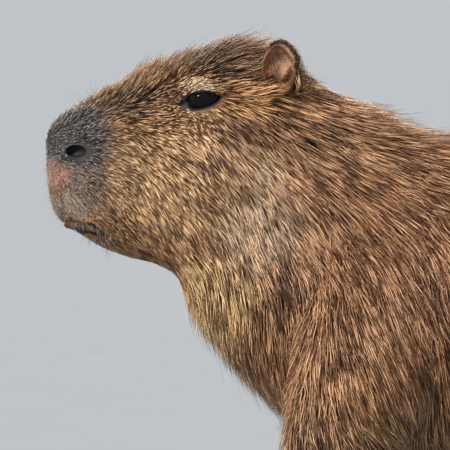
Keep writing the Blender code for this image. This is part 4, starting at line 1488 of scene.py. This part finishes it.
def sample(mesh, density, rng):
    """Points over the mesh, with so many for each square metre of each triangle."""
    mesh.calc_loop_triangles()
    corners = np.empty(len(mesh.loop_triangles) * 3, np.int32)
    mesh.loop_triangles.foreach_get("vertices", corners)
    a, b, c = points_of(mesh)[corners.reshape(-1, 3)].transpose(1, 0, 2)
    area = np.linalg.norm(np.cross(b - a, c - a), axis=1) / 2
    wanted = area * density((a + b + c) / 3)
    count = np.floor(wanted + rng.random(len(wanted))).astype(int)
    index = np.repeat(np.arange(len(wanted)), count)
    u = rng.random(len(index))
    v = rng.random(len(index))
    flip = u + v > 1
    u[flip], v[flip] = 1 - u[flip], 1 - v[flip]
    return a[index] + (b - a)[index] * u[:, None] + (c - a)[index] * v[:, None]


def in_ear(points, half, shift=(0, 0, 0)):
    """How far out of an ear's middle each point is, where 1 is the ellipsoid of this half size."""
    best = np.full(len(points), np.inf)
    for _, side in SIDES:
        turn = np.array(ear_pose(side).to_3x3())
        local = (points - np.array(place(EAR[0], side * EAR[1], EAR[2]))) @ turn / MM
        local = (local - np.array(shift) * (1, side, 1)) / half
        best = np.minimum(best, np.linalg.norm(local, axis=1))
    return best


def bare(points):
    """Where no hair grows: the eye, the nostril, the lips, the cup of the ear and the soles."""
    behind, height = in_side_view(points)
    beside = np.abs(points[:, 1]) / MM
    along, up = along_and_up(behind, height)
    half = EYE_SLIT[0] / 2
    within = np.maximum(1 - (along / half) ** 2, 0)
    open_up = EYE_SLIT[1] / 2 * within ** ((1 + EYE_SHUT) / 2)
    eye = (np.abs(up) < open_up + EYE_CLEAR) & (np.abs(along) < half + 1)
    back = (behind - NOSTRIL[0]) / NOSTRIL_CLEAR[0]
    over = (height - NOSTRIL[1]) / NOSTRIL_CLEAR[1]
    nostril = back**2 + over**2 < 1
    share = np.clip((behind - LIP_FRONT[0]) / (LIP_CORNER[0] - LIP_FRONT[0]), 0, 1)
    gape = lip_gape(share)
    over = height - lip_line(share)[1]
    lips = (behind < LIP_CORNER[0]) & (over < gape + LIP_CLEAR) & (over > -gape)
    cup = in_ear(points, EAR_CUP_HALF, EAR_CUP_SHIFT) < EAR_CUP_CLEAR
    eye &= beside > EYE_BESIDE
    nostril &= beside > NOSTRIL_BESIDE
    return eye | nostril | lips | cup | (height < SOLE_CLEAR)


MUZZLE_END = (45, 105)
BODY_START = (345, 520)
LEG_END = (170, 235)


def region_shares(points):
    """How much each point belongs to the muzzle, to the body behind the shoulder, and to a leg."""
    behind, height = in_side_view(points)
    muzzle = 1 - ramp(behind, *MUZZLE_END)
    body = ramp(behind, *BODY_START)
    leg = 1 - ramp(height, *LEG_END)
    return muzzle, body, leg


def blend_sizes(points, neck, face, body, leg):
    """A value for each point, out of the values of four regions."""
    muzzle, rear, low = region_shares(points)
    value = neck + (face - neck) * muzzle
    value = value + (body - value) * rear
    return value + (leg - value) * low


AXIS = np.array(
    [
        (
            (s.belly + (s.back - s.belly) * s.widest - MIDDLE) * MM,
            (s.belly_height + (s.back_height - s.belly_height) * s.widest) * MM,
        )
        for s in BODY
    ]
)


def unwrap(points):
    """A place on a flat map of the trunk and head: along their axis, and round it."""
    best = np.full(len(points), np.inf)
    along = np.zeros(len(points))
    above = np.zeros(len(points))
    for k, (start, end) in enumerate(zip(AXIS, AXIS[1:])):
        step = end - start
        flat = points[:, (0, 2)] - start
        share = np.clip(flat @ step / (step @ step), 0, 1)
        off = flat - share[:, None] * step
        away = (off**2).sum(1)
        nearer = away < best
        best[nearer] = away[nearer]
        along[nearer] = (k + share[nearer]) / (len(AXIS) - 1)
        side = step[0] * off[:, 1] - step[1] * off[:, 0]
        above[nearer] = (side / np.linalg.norm(step))[nearer]
    turn = np.arctan2(np.abs(points[:, 1]), above) / np.pi
    return along, turn


LEG_PARTING = 560  # fore legs are in front of this
LEG_MIDDLES = (240, 962)  # how far behind the nose the fore and hind legs stand
LEG_OUT = 0.09  # and how far off the middle, in metres
LEG_TOP = 260


def unwrap_leg(points):
    """A place on a flat map of the legs: up a leg, and round it."""
    behind, height = in_side_view(points)
    fore = behind < LEG_PARTING
    middle = np.where(fore, *LEG_MIDDLES) * MM - MIDDLE * MM
    side = np.abs(points[:, 1]) - LEG_OUT
    turn = np.arctan2(side, points[:, 0] - middle) / math.tau + 0.5
    return height / LEG_TOP, np.where(fore, turn / 2, 0.5 + turn / 2)


TUFT_PATCH = 0.003  # the size of a tuft's own patch on the flat map
TUFT_TAPER = 0.62  # its width at the last ring, where 1 is the first
TUFT_RIDGE = 0.9  # how high its ridge is for half its width


def tuft_mesh(name, lines, outward, width, maps, values):
    """Many closed tapered tufts in one mesh: a point at the root, three-sided rings, and a tip."""
    count, steps = lines.shape[:2]
    rings = steps - 2
    each = 2 + 3 * rings
    ahead = unit((lines[:, 2:] - lines[:, :-2]).reshape(-1, 3)).reshape(count, rings, 3)
    out = outward[:, 1:-1]
    across = np.cross(out, ahead)
    across /= np.maximum(np.linalg.norm(across, axis=2), 1e-9)[:, :, None]
    taper = np.linspace(1, TUFT_TAPER, rings) if rings > 1 else np.ones(1)
    half = width[:, None, None] / 2 * taper[None, :, None]
    centre = lines[:, 1:-1]
    points = np.empty((count, each, 3))
    points[:, 0] = lines[:, 0]
    points[:, 1:-1:3] = centre - across * half
    points[:, 2:-1:3] = centre + across * half
    points[:, 3:-1:3] = centre + out * half * TUFT_RIDGE
    points[:, -1] = lines[:, -1]
    faces = [(0, 2, 1), (0, 3, 2), (0, 1, 3)]
    for ring in range(rings - 1):
        low, high = 1 + 3 * ring, 4 + 3 * ring
        for j in range(3):
            nxt = (j + 1) % 3
            faces.append((low + j, low + nxt, high + nxt, high + j))
    last, tip = 1 + 3 * (rings - 1), each - 1
    faces += [(last + j, last + (j + 1) % 3, tip) for j in range(3)]
    pattern = np.array([corner for face in faces for corner in face])
    sizes = np.array([len(face) for face in faces])
    corners = (np.arange(count)[:, None] * each + pattern).ravel()
    mesh = bpy.data.meshes.new(name)
    fill_mesh(mesh, points.reshape(-1, 3), corners, np.tile(sizes, count))
    shares = np.linspace(0, 1, steps)
    along = np.concatenate([[shares[0]], np.repeat(shares[1:-1], 3), [shares[-1]]])
    put_values(mesh, "along", np.tile(along, count))
    for key, value in values.items():
        put_values(mesh, key, np.repeat(value, each))
    beside = np.concatenate([[0.5], np.tile([0, 1, 0.5], rings), [0.5]])
    patch = np.stack([beside - 0.5, along - 0.5], axis=1) * TUFT_PATCH
    flat = (maps[:, None] + patch[None]).reshape(-1, 2)[corners]
    layer = mesh.uv_layers.new(name="OFBake")
    layer.data.foreach_set("uv", flat.astype(np.float32).ravel())
    mesh.shade_smooth()
    made = bpy.data.objects.new(name, mesh)
    bpy.context.scene.collection.objects.link(made)
    return made


def put_values(mesh, name, values):
    layer = mesh.attributes.new(name, "FLOAT", "POINT")
    layer.data.foreach_set("value", values.astype(np.float32))


def spread(values):
    """The values moved and scaled to run from near 0 to near 1."""
    low, high = values.min(), values.max()
    return 0.01 + 0.98 * (values - low) / max(high - low, 1e-9)


LONG_SHARES = (0.0, 0.34, 0.68, 1.0)
SHORT_SHARES = (0.0, 0.45, 1.0)
SHORT_UNDER = 12  # tufts below this length have one ring between root and tip
ROOT_SUNK = 0.6
LENGTH_SPREAD = (0.72, 1.12)
RISE_SPREAD = (0.3, 1.1)
WIDTH_SPREAD = (0.75, 1.3)
STRAY_SHAPE = (1.3, 1.45, 0.65)  # length, rise and width of a long hair, compared with the others
EAR_FUR = (1.12, 17)  # how near an ear, and how far below its middle, its own fur grows
EAR_FUR_SHADE = 0.35  # the palest shade there
LOCK_SHADE = (0.55, 0.45)  # how much of a tuft's shade is its own, and how much is its lock's
LOCK_PULL = (0.45, 1.0)
LOCK_CURVE = 1.3  # 1 draws tufts evenly along their length, and more draws the tips only
CLUMPS = (
    # from and to behind the nose, and the spacing of locks compared with the neck's
    (0, 75, 0.55),
    (75, 135, 0.75),
    (135, 330, 1.0),
    (330, 460, 1.25),
    (460, 1300, 1.25),
)
REGIONS = (
    ("muzzle", 0, 62, "face"),
    ("cheek", 62, 132, "face"),
    ("crown", 132, 205, "face"),
    ("neck", 205, 268, "coat"),
    ("chest", 268, 330, "coat"),
    ("shoulder", 330, 440, "coat"),
    ("barrel", 440, 800, "coat"),
    ("rump", 800, 1200, "coat"),
)


class Tufts(NamedTuple):
    """The tufts of the coat before they are combed, with one value in each field for every tuft."""

    roots: np.ndarray
    lies: np.ndarray  # the way it grows
    length: np.ndarray
    rise: np.ndarray  # of its tip over the skin
    width: np.ndarray
    shade: np.ndarray  # 0 is dark and 1 is pale
    tone: np.ndarray  # above the middle it is redder
    short: np.ndarray  # whether it is a short one
    low: np.ndarray  # whether it grows on a leg


def draw_tufts(skin, tree, sizes, rng):
    """Draws where the tufts grow, and how each differs from the lie of the coat there."""

    def density(points):
        counts = sizes.neck_count, sizes.face_count, sizes.body_count, sizes.leg_count
        return blend_sizes(points, *counts) * SQUARE_CM * ~bare(points)

    roots = sample(skin.data, density, rng)
    lies, length, rise, _ = coat_at(roots)
    _, normals = nearest(tree, roots)
    ear = in_ear(roots, EAR_HALF) < EAR_FUR[0]
    ear &= in_side_view(roots)[1] > EAR[2] - EAR_FUR[1]
    lies[ear] = EAR_LIE[:3]
    length[ear], rise[ear] = EAR_LIE[3:]
    lies = flatten(lies, normals)
    lies = turned(lies, normals, rng.normal(0, sizes.stray, len(roots)))
    length = length * rng.uniform(*LENGTH_SPREAD, len(roots)) * MM
    rise = rise * rng.uniform(*RISE_SPREAD, len(roots)) * MM
    widths = sizes.neck_width, sizes.face_width, sizes.body_width, sizes.face_width * 2
    width = blend_sizes(roots, *widths) * rng.uniform(*WIDTH_SPREAD, len(roots))
    stray = rng.random(len(roots)) < sizes.strays
    for values, change in zip((length, rise, width), STRAY_SHAPE):
        values[stray] *= change
    shade = rng.random(len(roots)) * np.where(ear, EAR_FUR_SHADE, 1)
    tone = rng.random(len(roots))
    low = region_shares(roots)[2] > 0.5
    short = (length < SHORT_UNDER * MM) | low | ear
    return Tufts(roots, lies, length, rise, width, shade, tone, short, low)


def gather(lines, roots, spacing, strength, rng):
    """Draws the tips of neighbouring tufts together into locks. It gives the new lines, and one
    random shade for each lock."""
    grid = np.floor(roots / spacing).astype(int)
    _, first = np.unique(grid, axis=0, return_index=True)
    first = np.sort(first)
    kd = KDTree(len(first))
    for k, index in enumerate(first):
        kd.insert(roots[index], k)
    kd.balance()
    own = np.array([kd.find(point)[1] for point in roots.tolist()])
    lead = lines[first[own]]
    pull = strength * rng.uniform(*LOCK_PULL, len(lines))
    curve = np.linspace(0, 1, lines.shape[1]) ** LOCK_CURVE
    share = pull[:, None] * curve[None]
    return lines + (lead - lines) * share[:, :, None], rng.random(len(first))[own]


EAR_FRONT = (22, 4)  # how far in front of the ear's middle and below it the free tufts grow
EAR_FRONT_SIZE = (9, 26)
EAR_FRONT_OFF = 1.08  # how far out of the ear they grow, where 1 is its surface
EAR_FRONT_WAY = (0.66, 0.62, 0.58)  # back, out and up


def lift_over_ear(lines, roots):
    """Lets the tufts in front of an ear stand free over its front edge."""
    behind, height = in_side_view(roots)
    across = (behind - EAR[0] + EAR_FRONT[0]) / EAR_FRONT_SIZE[0]
    up = (height - EAR[2] + EAR_FRONT[1]) / EAR_FRONT_SIZE[1]
    near = (across**2 + up**2 < 1) & (in_ear(roots, EAR_HALF) > EAR_FRONT_OFF)
    side = np.sign(roots[near, 1])
    way = unit(np.stack([side**0, side, side**0], axis=1) * EAR_FRONT_WAY)
    length = np.linalg.norm(lines[near, -1] - lines[near, 0], axis=1)
    share = np.linspace(0, 1, lines.shape[1])
    reach = way[:, None] * (length[:, None] * share)[:, :, None]
    lines[near] = 0.5 * lines[near] + 0.5 * (lines[near, :1] + reach)


def gather_locks(lines, roots, sizes, rng):
    """Gathers the long tufts into locks, and gives the shade of each tuft's lock."""
    shade = np.zeros(len(roots))
    behind = in_side_view(roots)[0]
    for start, end, spacing in CLUMPS:
        here = (behind >= start) & (behind < end)
        lines[here], shade[here] = gather(
            lines[here], roots[here], spacing * sizes.clump, sizes.gather, rng
        )
    lift_over_ear(lines, roots)
    return shade


def comb_coat(tree, tufts, sizes, rng):
    """Combs the short tufts and then the long ones: for each kind its name, which tufts it has,
    their lines and the ways out. The shades of locks go into the tufts' own."""
    combed = []
    for kind, is_short, shares in (("fuzz", True, SHORT_SHARES), ("coat", False, LONG_SHARES)):
        chosen = np.flatnonzero(tufts.short == is_short)
        own = [values[chosen] for values in tufts[:4]]
        lines, outward = comb(tree, *own, shares, ROOT_SUNK * MM)
        if not is_short:
            lock_shade = gather_locks(lines, own[0], sizes, rng)
            shade = tufts.shade[chosen]
            tufts.shade[chosen] = LOCK_SHADE[0] * shade + LOCK_SHADE[1] * lock_shade
        combed.append((kind, chosen, lines, outward))
    return combed


def grow(part, inside, flat_map, tufts, combed, material):
    """Makes the pieces of one part of the coat: its short tufts, and its long ones."""
    for kind, chosen, lines, outward in combed:
        mine = inside[chosen]
        if not mine.any():
            continue
        index = chosen[mine]
        maps = np.stack([spread(values) for values in flat_map(tufts.roots[index])], axis=1)
        piece = tuft_mesh(
            f"{kind}_{part}", lines[mine], outward[mine], tufts.width[index], maps,
            {"shade": tufts.shade[index], "tone": tufts.tone[index]},
        )
        piece.data.materials.append(material)
        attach(piece, "root")


class CAPYBARA_OT_coat(bpy.types.Operator):
    """Grows the coat over the skin, in pieces by region and side"""

    bl_idname = "capybara.coat"
    bl_label = "Coat"

    def execute(self, context):
        sizes = context.scene.capybara_coat
        skin = bpy.data.objects["skin"]
        tree = tree_of(skin)
        rng = np.random.default_rng(sizes.seed)
        tufts = draw_tufts(skin, tree, sizes, rng)
        material = coat_finish(context.scene.capybara_colours)
        combed = comb_coat(tree, tufts, sizes, rng)
        behind = in_side_view(tufts.roots)[0]
        for hand, side in SIDES:
            own = np.sign(tufts.roots[:, 1] + 1e-12) == side
            for name, start, end, slot in REGIONS:
                inside = own & ~tufts.low & (behind >= start) & (behind < end)
                grow(f"{name}_{hand}", inside, unwrap, tufts, combed, material)
            grow(f"leg_{hand}", own & tufts.low, unwrap_leg, tufts, combed, material)
        return {"FINISHED"}


DARK, BROWN, PALE = 0.1, 0.5, 0.9  # the shades of single hairs
SPRAY_SHARES = (0.3, 0.65, 1.0)
SPRAY_SUNK = 0.8


def spray(rng, root, way, length, droop, turn):
    """One free hair from a root: its line leaves the way it is told, give or take, and droops."""
    way = Vector(way) + Vector(rng.normal(0, turn, 3))
    way.normalize()
    line = [root - way * SPRAY_SUNK * MM]
    for share in SPRAY_SHARES:
        line.append(root + (way * share + Vector(droop) * share**2) * length * MM)
    return line


class Hair(NamedTuple):
    """One single hair of the face."""

    where: tuple  # its place in side view
    way: tuple
    length: float
    droop: tuple
    width: float
    shade: float
    turn: float  # how far it leaves its way


class Stubble(NamedTuple):
    """Single hairs spread evenly over a patch of the face in side view."""

    count: int
    behind: tuple  # from and to, as in the next fields that hold two
    height: tuple
    way: tuple  # back, out and up
    length: tuple
    droop: tuple
    width: float
    shade: float
    turn: float


LIP_STUBBLE = Stubble(
    700, (2, 20), (404, 464), (-0.9, 0.15, -0.35), (4, 10), (-0.1, 0, -0.25), 0.24, PALE, 0.3
)
CHIN_STUBBLE = Stubble(
    120, (22, 60), (380, 398), (-0.1, 0.3, -0.9), (6, 12), (0.1, 0, -0.1), 0.25, PALE, 0.3
)
SNOUT_HAIRS = Stubble(
    16, (14, 60), (500, 512), (-0.35, 0.15, 0.9), (12, 26), (-0.2, 0, 0), 0.34, DARK, 0.2
)
WHISKER_ROWS = 4
LIP_HAIRS = 240
LID_HAIRS = 260
LASHES = 26
CUP_HAIRS = 260
CUP_REACH = (13, 19)  # how far from the ear's middle they grow
FRINGE_HAIRS = 420
FRINGE_TURN = (-70, 118)  # where round the ear it grows, in degrees up from straight back
FRINGE_LONG_TO = -12


def stubble(patch, rng, side):
    back, out, up = patch.way
    for _ in range(patch.count):
        where = (rng.uniform(*patch.behind), rng.uniform(*patch.height))
        length = rng.uniform(*patch.length)
        way = (back, side * out, up)
        yield Hair(where, way, length, patch.droop, patch.width, patch.shade, patch.turn)


def whisker_rows(rng, side):
    """The long whiskers, in rows on the pad of the upper lip."""
    for row in range(WHISKER_ROWS):
        for k in range(WHISKER_ROWS):
            where = (22 + 9 * k + rng.uniform(-2, 2), 444 - 10 * row + 2.5 * k)
            way = (0.45, side * 0.85, -0.3)
            yield Hair(where, way, rng.uniform(26, 52), (0.25, 0, -0.3), 0.34, PALE, 0.1)


def lip_hairs(rng, side):
    """Fine hairs that hang over the edge of the upper lip."""
    for _ in range(LIP_HAIRS):
        share = rng.uniform(0.15, 1)
        behind, height = lip_line(share)
        over = lip_gape(share) + rng.uniform(0.6, 3)
        way = (0.25, side * 0.35, -0.85)
        length = rng.uniform(3, 6.5)
        shade = rng.choice((DARK, BROWN, PALE))
        yield Hair((behind, height + over), way, length, (0.1, 0, -0.2), 0.36, shade, 0.25)


def beside_slit(angle, off):
    """The place in side view so far outside the outline of the eye's opening."""
    point = on_slit(*slit_point(angle, off))
    return point.x / MM + MIDDLE, point.z / MM


def lid_hairs(rng, side):
    """Fine hairs on the lower lid."""
    for _ in range(LID_HAIRS):
        where = beside_slit(-math.pi * rng.uniform(0.04, 0.8), rng.uniform(1.2, 4.5))
        way = (0.55, side * 0.3, -0.6)
        length = rng.uniform(2.5, 5)
        shade = rng.choice((BROWN, PALE))
        yield Hair(where, way, length, (0, -side * 0.2, -0.2), 0.42, shade, 0.2)


def lashes(rng, side):
    """The lashes of the upper lid, from its front to its rear corner."""
    for k in range(LASHES):
        share = k / (LASHES - 1)
        where = beside_slit(math.pi * (0.92 - 0.75 * share), 1.4)
        way = (0.1 + 0.5 * share, side * 0.8, -0.25)
        yield Hair(where, way, rng.uniform(5, 8), (0, 0, -0.4), 0.3, DARK, 0.12)


def face_hairs(tree, rng, side):
    """Each single hair of the face: its line, its width and its shade."""
    hairs = [
        *whisker_rows(rng, side),
        *stubble(LIP_STUBBLE, rng, side),
        *stubble(CHIN_STUBBLE, rng, side),
        *lip_hairs(rng, side),
        *lid_hairs(rng, side),
        *stubble(SNOUT_HAIRS, rng, side),
        *lashes(rng, side),
    ]
    for hair in hairs:
        root = surface_at(tree, *hair.where, side)
        if root:
            line = spray(rng, root, hair.way, hair.length, hair.droop, hair.turn)
            yield line, hair.width, hair.shade


def cup_hairs(tree, rng, side):
    """The same of each fine hair in the cup of an ear."""
    for _ in range(CUP_HAIRS):
        turn, out = rng.uniform(0, math.tau), math.sqrt(rng.uniform(0, 1))
        behind = EAR[0] + CUP_REACH[0] * out * math.cos(turn)
        root = surface_at(tree, behind, EAR[2] + CUP_REACH[1] * out * math.sin(turn), side)
        if root:
            way = (0.5 * math.cos(turn) + 0.25, side * 0.4, 0.45 + 0.3 * math.sin(turn))
            line = spray(rng, root, way, rng.uniform(3, 8), (0.1, 0, 0.1), 0.25)
            yield line, 0.36, rng.choice((DARK, BROWN, BROWN))


def ear_fringe(rng, side):
    """The same of each hair on the rim of an ear, longer low at its back."""
    pose = ear_pose(side).to_3x3()
    middle = place(EAR[0], side * EAR[1], EAR[2])
    for _ in range(FRINGE_HAIRS):
        angle = rng.uniform(*FRINGE_TURN)
        along, up = math.cos(math.radians(angle)), math.sin(math.radians(angle))
        outward = Vector((along, 0, up))
        off = side * rng.uniform(0, 4)
        rim = Vector((outward.x * EAR_HALF[0], off, outward.z * EAR_HALF[2]))
        root = middle + pose @ (rim * 0.96) * MM
        way = pose @ (outward * 0.6) + Vector((0.7, 0, -0.25))
        length = rng.uniform(3, 5) if angle > FRINGE_LONG_TO else rng.uniform(8, 15)
        line = spray(rng, root, way, length, (0.2, 0, -0.2), 0.32)
        yield line, 0.42, rng.choice((DARK, DARK, DARK, BROWN))


def whisker_finish(colours):
    """Dark, brown and pale hairs, each darker at its foot."""
    finish = Finish("whisker", 0.7, 0.15)
    shade = finish.attribute("shade")
    pale = finish.step(shade, 0.6, 0.8)
    tip = finish.mix(finish.step(shade, 0.2, 0.4), (0.05, 0.035, 0.028), (0.42, 0.21, 0.10))
    tip = finish.mix(pale, tip, tuple(colours.whisker))
    foot = finish.mix(pale, (0.02, 0.015, 0.012), (0.12, 0.10, 0.085))
    finish.paint(finish.mix(finish.attribute("along"), foot, tip))
    return finish.material


class CAPYBARA_OT_whiskers(bpy.types.Operator):
    """Makes the whiskers, the stubble of the lips, the lashes and the fringe of the ears"""

    bl_idname = "capybara.whiskers"
    bl_label = "Whiskers"

    def execute(self, context):
        tree = tree_of(bpy.data.objects["skin"])
        rng = np.random.default_rng(context.scene.capybara_coat.seed + 1)
        material = whisker_finish(context.scene.capybara_colours)
        for hand, side in SIDES:
            hairs = [
                *face_hairs(tree, rng, side), *cup_hairs(tree, rng, side), *ear_fringe(rng, side)
            ]
            lines = np.array([line for line, _, _ in hairs], float)
            width = np.array([wide * MM for _, wide, _ in hairs])
            shade = np.array([shade for _, _, shade in hairs])
            outward = np.tile(np.array([0.0, 0.0, 1.0]), (*lines.shape[:2], 1))
            maps = np.stack([spread(values) for values in unwrap(lines[:, 0])], axis=1)
            piece = tuft_mesh(f"whiskers_{hand}", lines, outward, width, maps, {"shade": shade})
            piece.data.materials.append(material)
            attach(piece, "root")
        return {"FINISHED"}


FLOOR_RADIUS = 40
FLOOR_SPECK = (0.66, 0.66, 0.64)
LIGHTS = (
    # the way towards it, its width in degrees, its power and its colour
    ("key", (-0.45, -0.78, 0.74), 8, 4.3, (1.0, 0.955, 0.89)),
    ("rim", (0.15, 0.80, 0.95), 14, 2.3, (1.0, 0.98, 0.95)),
    ("catchlight", (-0.71, -0.634, 0.302), 5, 0.8, (1.0, 1.0, 1.0)),
)
AIR_STRENGTH = 0.66


def make_floor(colour):
    bm = bmesh.new()
    bmesh.ops.create_circle(bm, cap_ends=True, segments=96, radius=FLOOR_RADIUS)
    floor = finish_mesh("floor", bm)
    finish = Finish("floor", 0.9, 0.2)
    specks = finish.noise(finish.place(), 3, 2) * 0.05
    finish.paint(finish.mix(specks, colour, FLOOR_SPECK))
    floor.data.materials.append(finish.material)


def set_lights(air):
    for name, way, wide, power, colour in LIGHTS:
        light = bpy.data.lights.new(name, "SUN")
        light.angle = math.radians(wide)
        light.energy = power
        light.color = colour
        lamp = show(name, light)
        lamp.location = Vector(way) * 3
        lamp.rotation_euler = Vector(way).to_track_quat("Z", "Y").to_euler()
    world = bpy.data.worlds.new("studio")
    world.use_nodes = True
    background = world.node_tree.nodes["Background"]
    background.inputs["Color"].default_value = (*air, 1)
    background.inputs["Strength"].default_value = AIR_STRENGTH
    bpy.context.scene.world = world


class CAPYBARA_OT_stage(bpy.types.Operator):
    """Sets the floor, the lights and the camera"""

    bl_idname = "capybara.stage"
    bl_label = "Stage"

    def execute(self, context):
        stage = context.scene.capybara_stage
        make_floor(tuple(stage.floor))
        set_lights(stage.air)
        camera = bpy.data.cameras.new("camera")
        camera.lens = stage.lens
        camera.clip_end = 200
        view = show("camera", camera)
        distance = stage.span * stage.lens / camera.sensor_width
        view.location = Vector(stage.middle) - Vector((0, distance, 0))
        view.rotation_euler = (math.pi / 2, 0, 0)
        context.scene.camera = view
        context.scene.view_settings.view_transform = "Standard"
        return {"FINISHED"}


PIECES = ("skin", "eyes", "claws", "coat", "whiskers", "stage")


class CAPYBARA_PT_panel(bpy.types.Panel):
    bl_label = "Capybara"
    bl_idname = "CAPYBARA_PT_panel"
    bl_space_type = "VIEW_3D"
    bl_region_type = "UI"
    bl_category = "Capybara"

    def draw(self, context):
        for piece in PIECES:
            self.layout.operator(f"capybara.{piece}")
        for group in (
            context.scene.capybara_skin,
            context.scene.capybara_coat,
            context.scene.capybara_colours,
            context.scene.capybara_stage,
        ):
            for name in group.bl_rna.properties.keys():
                if name not in ("rna_type", "name"):
                    self.layout.prop(group, name)


CLASSES = (
    CoatSizes,
    CoatColours,
    SkinSizes,
    StageSizes,
    CAPYBARA_OT_skin,
    CAPYBARA_OT_eyes,
    CAPYBARA_OT_claws,
    CAPYBARA_OT_coat,
    CAPYBARA_OT_whiskers,
    CAPYBARA_OT_stage,
    CAPYBARA_PT_panel,
)
GROUPS = {
    "capybara_coat": CoatSizes,
    "capybara_colours": CoatColours,
    "capybara_skin": SkinSizes,
    "capybara_stage": StageSizes,
}


def register():
    for each in CLASSES:
        bpy.utils.register_class(each)
    for name, group in GROUPS.items():
        setattr(bpy.types.Scene, name, bpy.props.PointerProperty(type=group))


def unregister():
    for name in GROUPS:
        delattr(bpy.types.Scene, name)
    for each in reversed(CLASSES):
        bpy.utils.unregister_class(each)


def main():
    register()
    for piece in PIECES:
        getattr(bpy.ops.capybara, piece)()


if __name__ == "__main__":
    main()
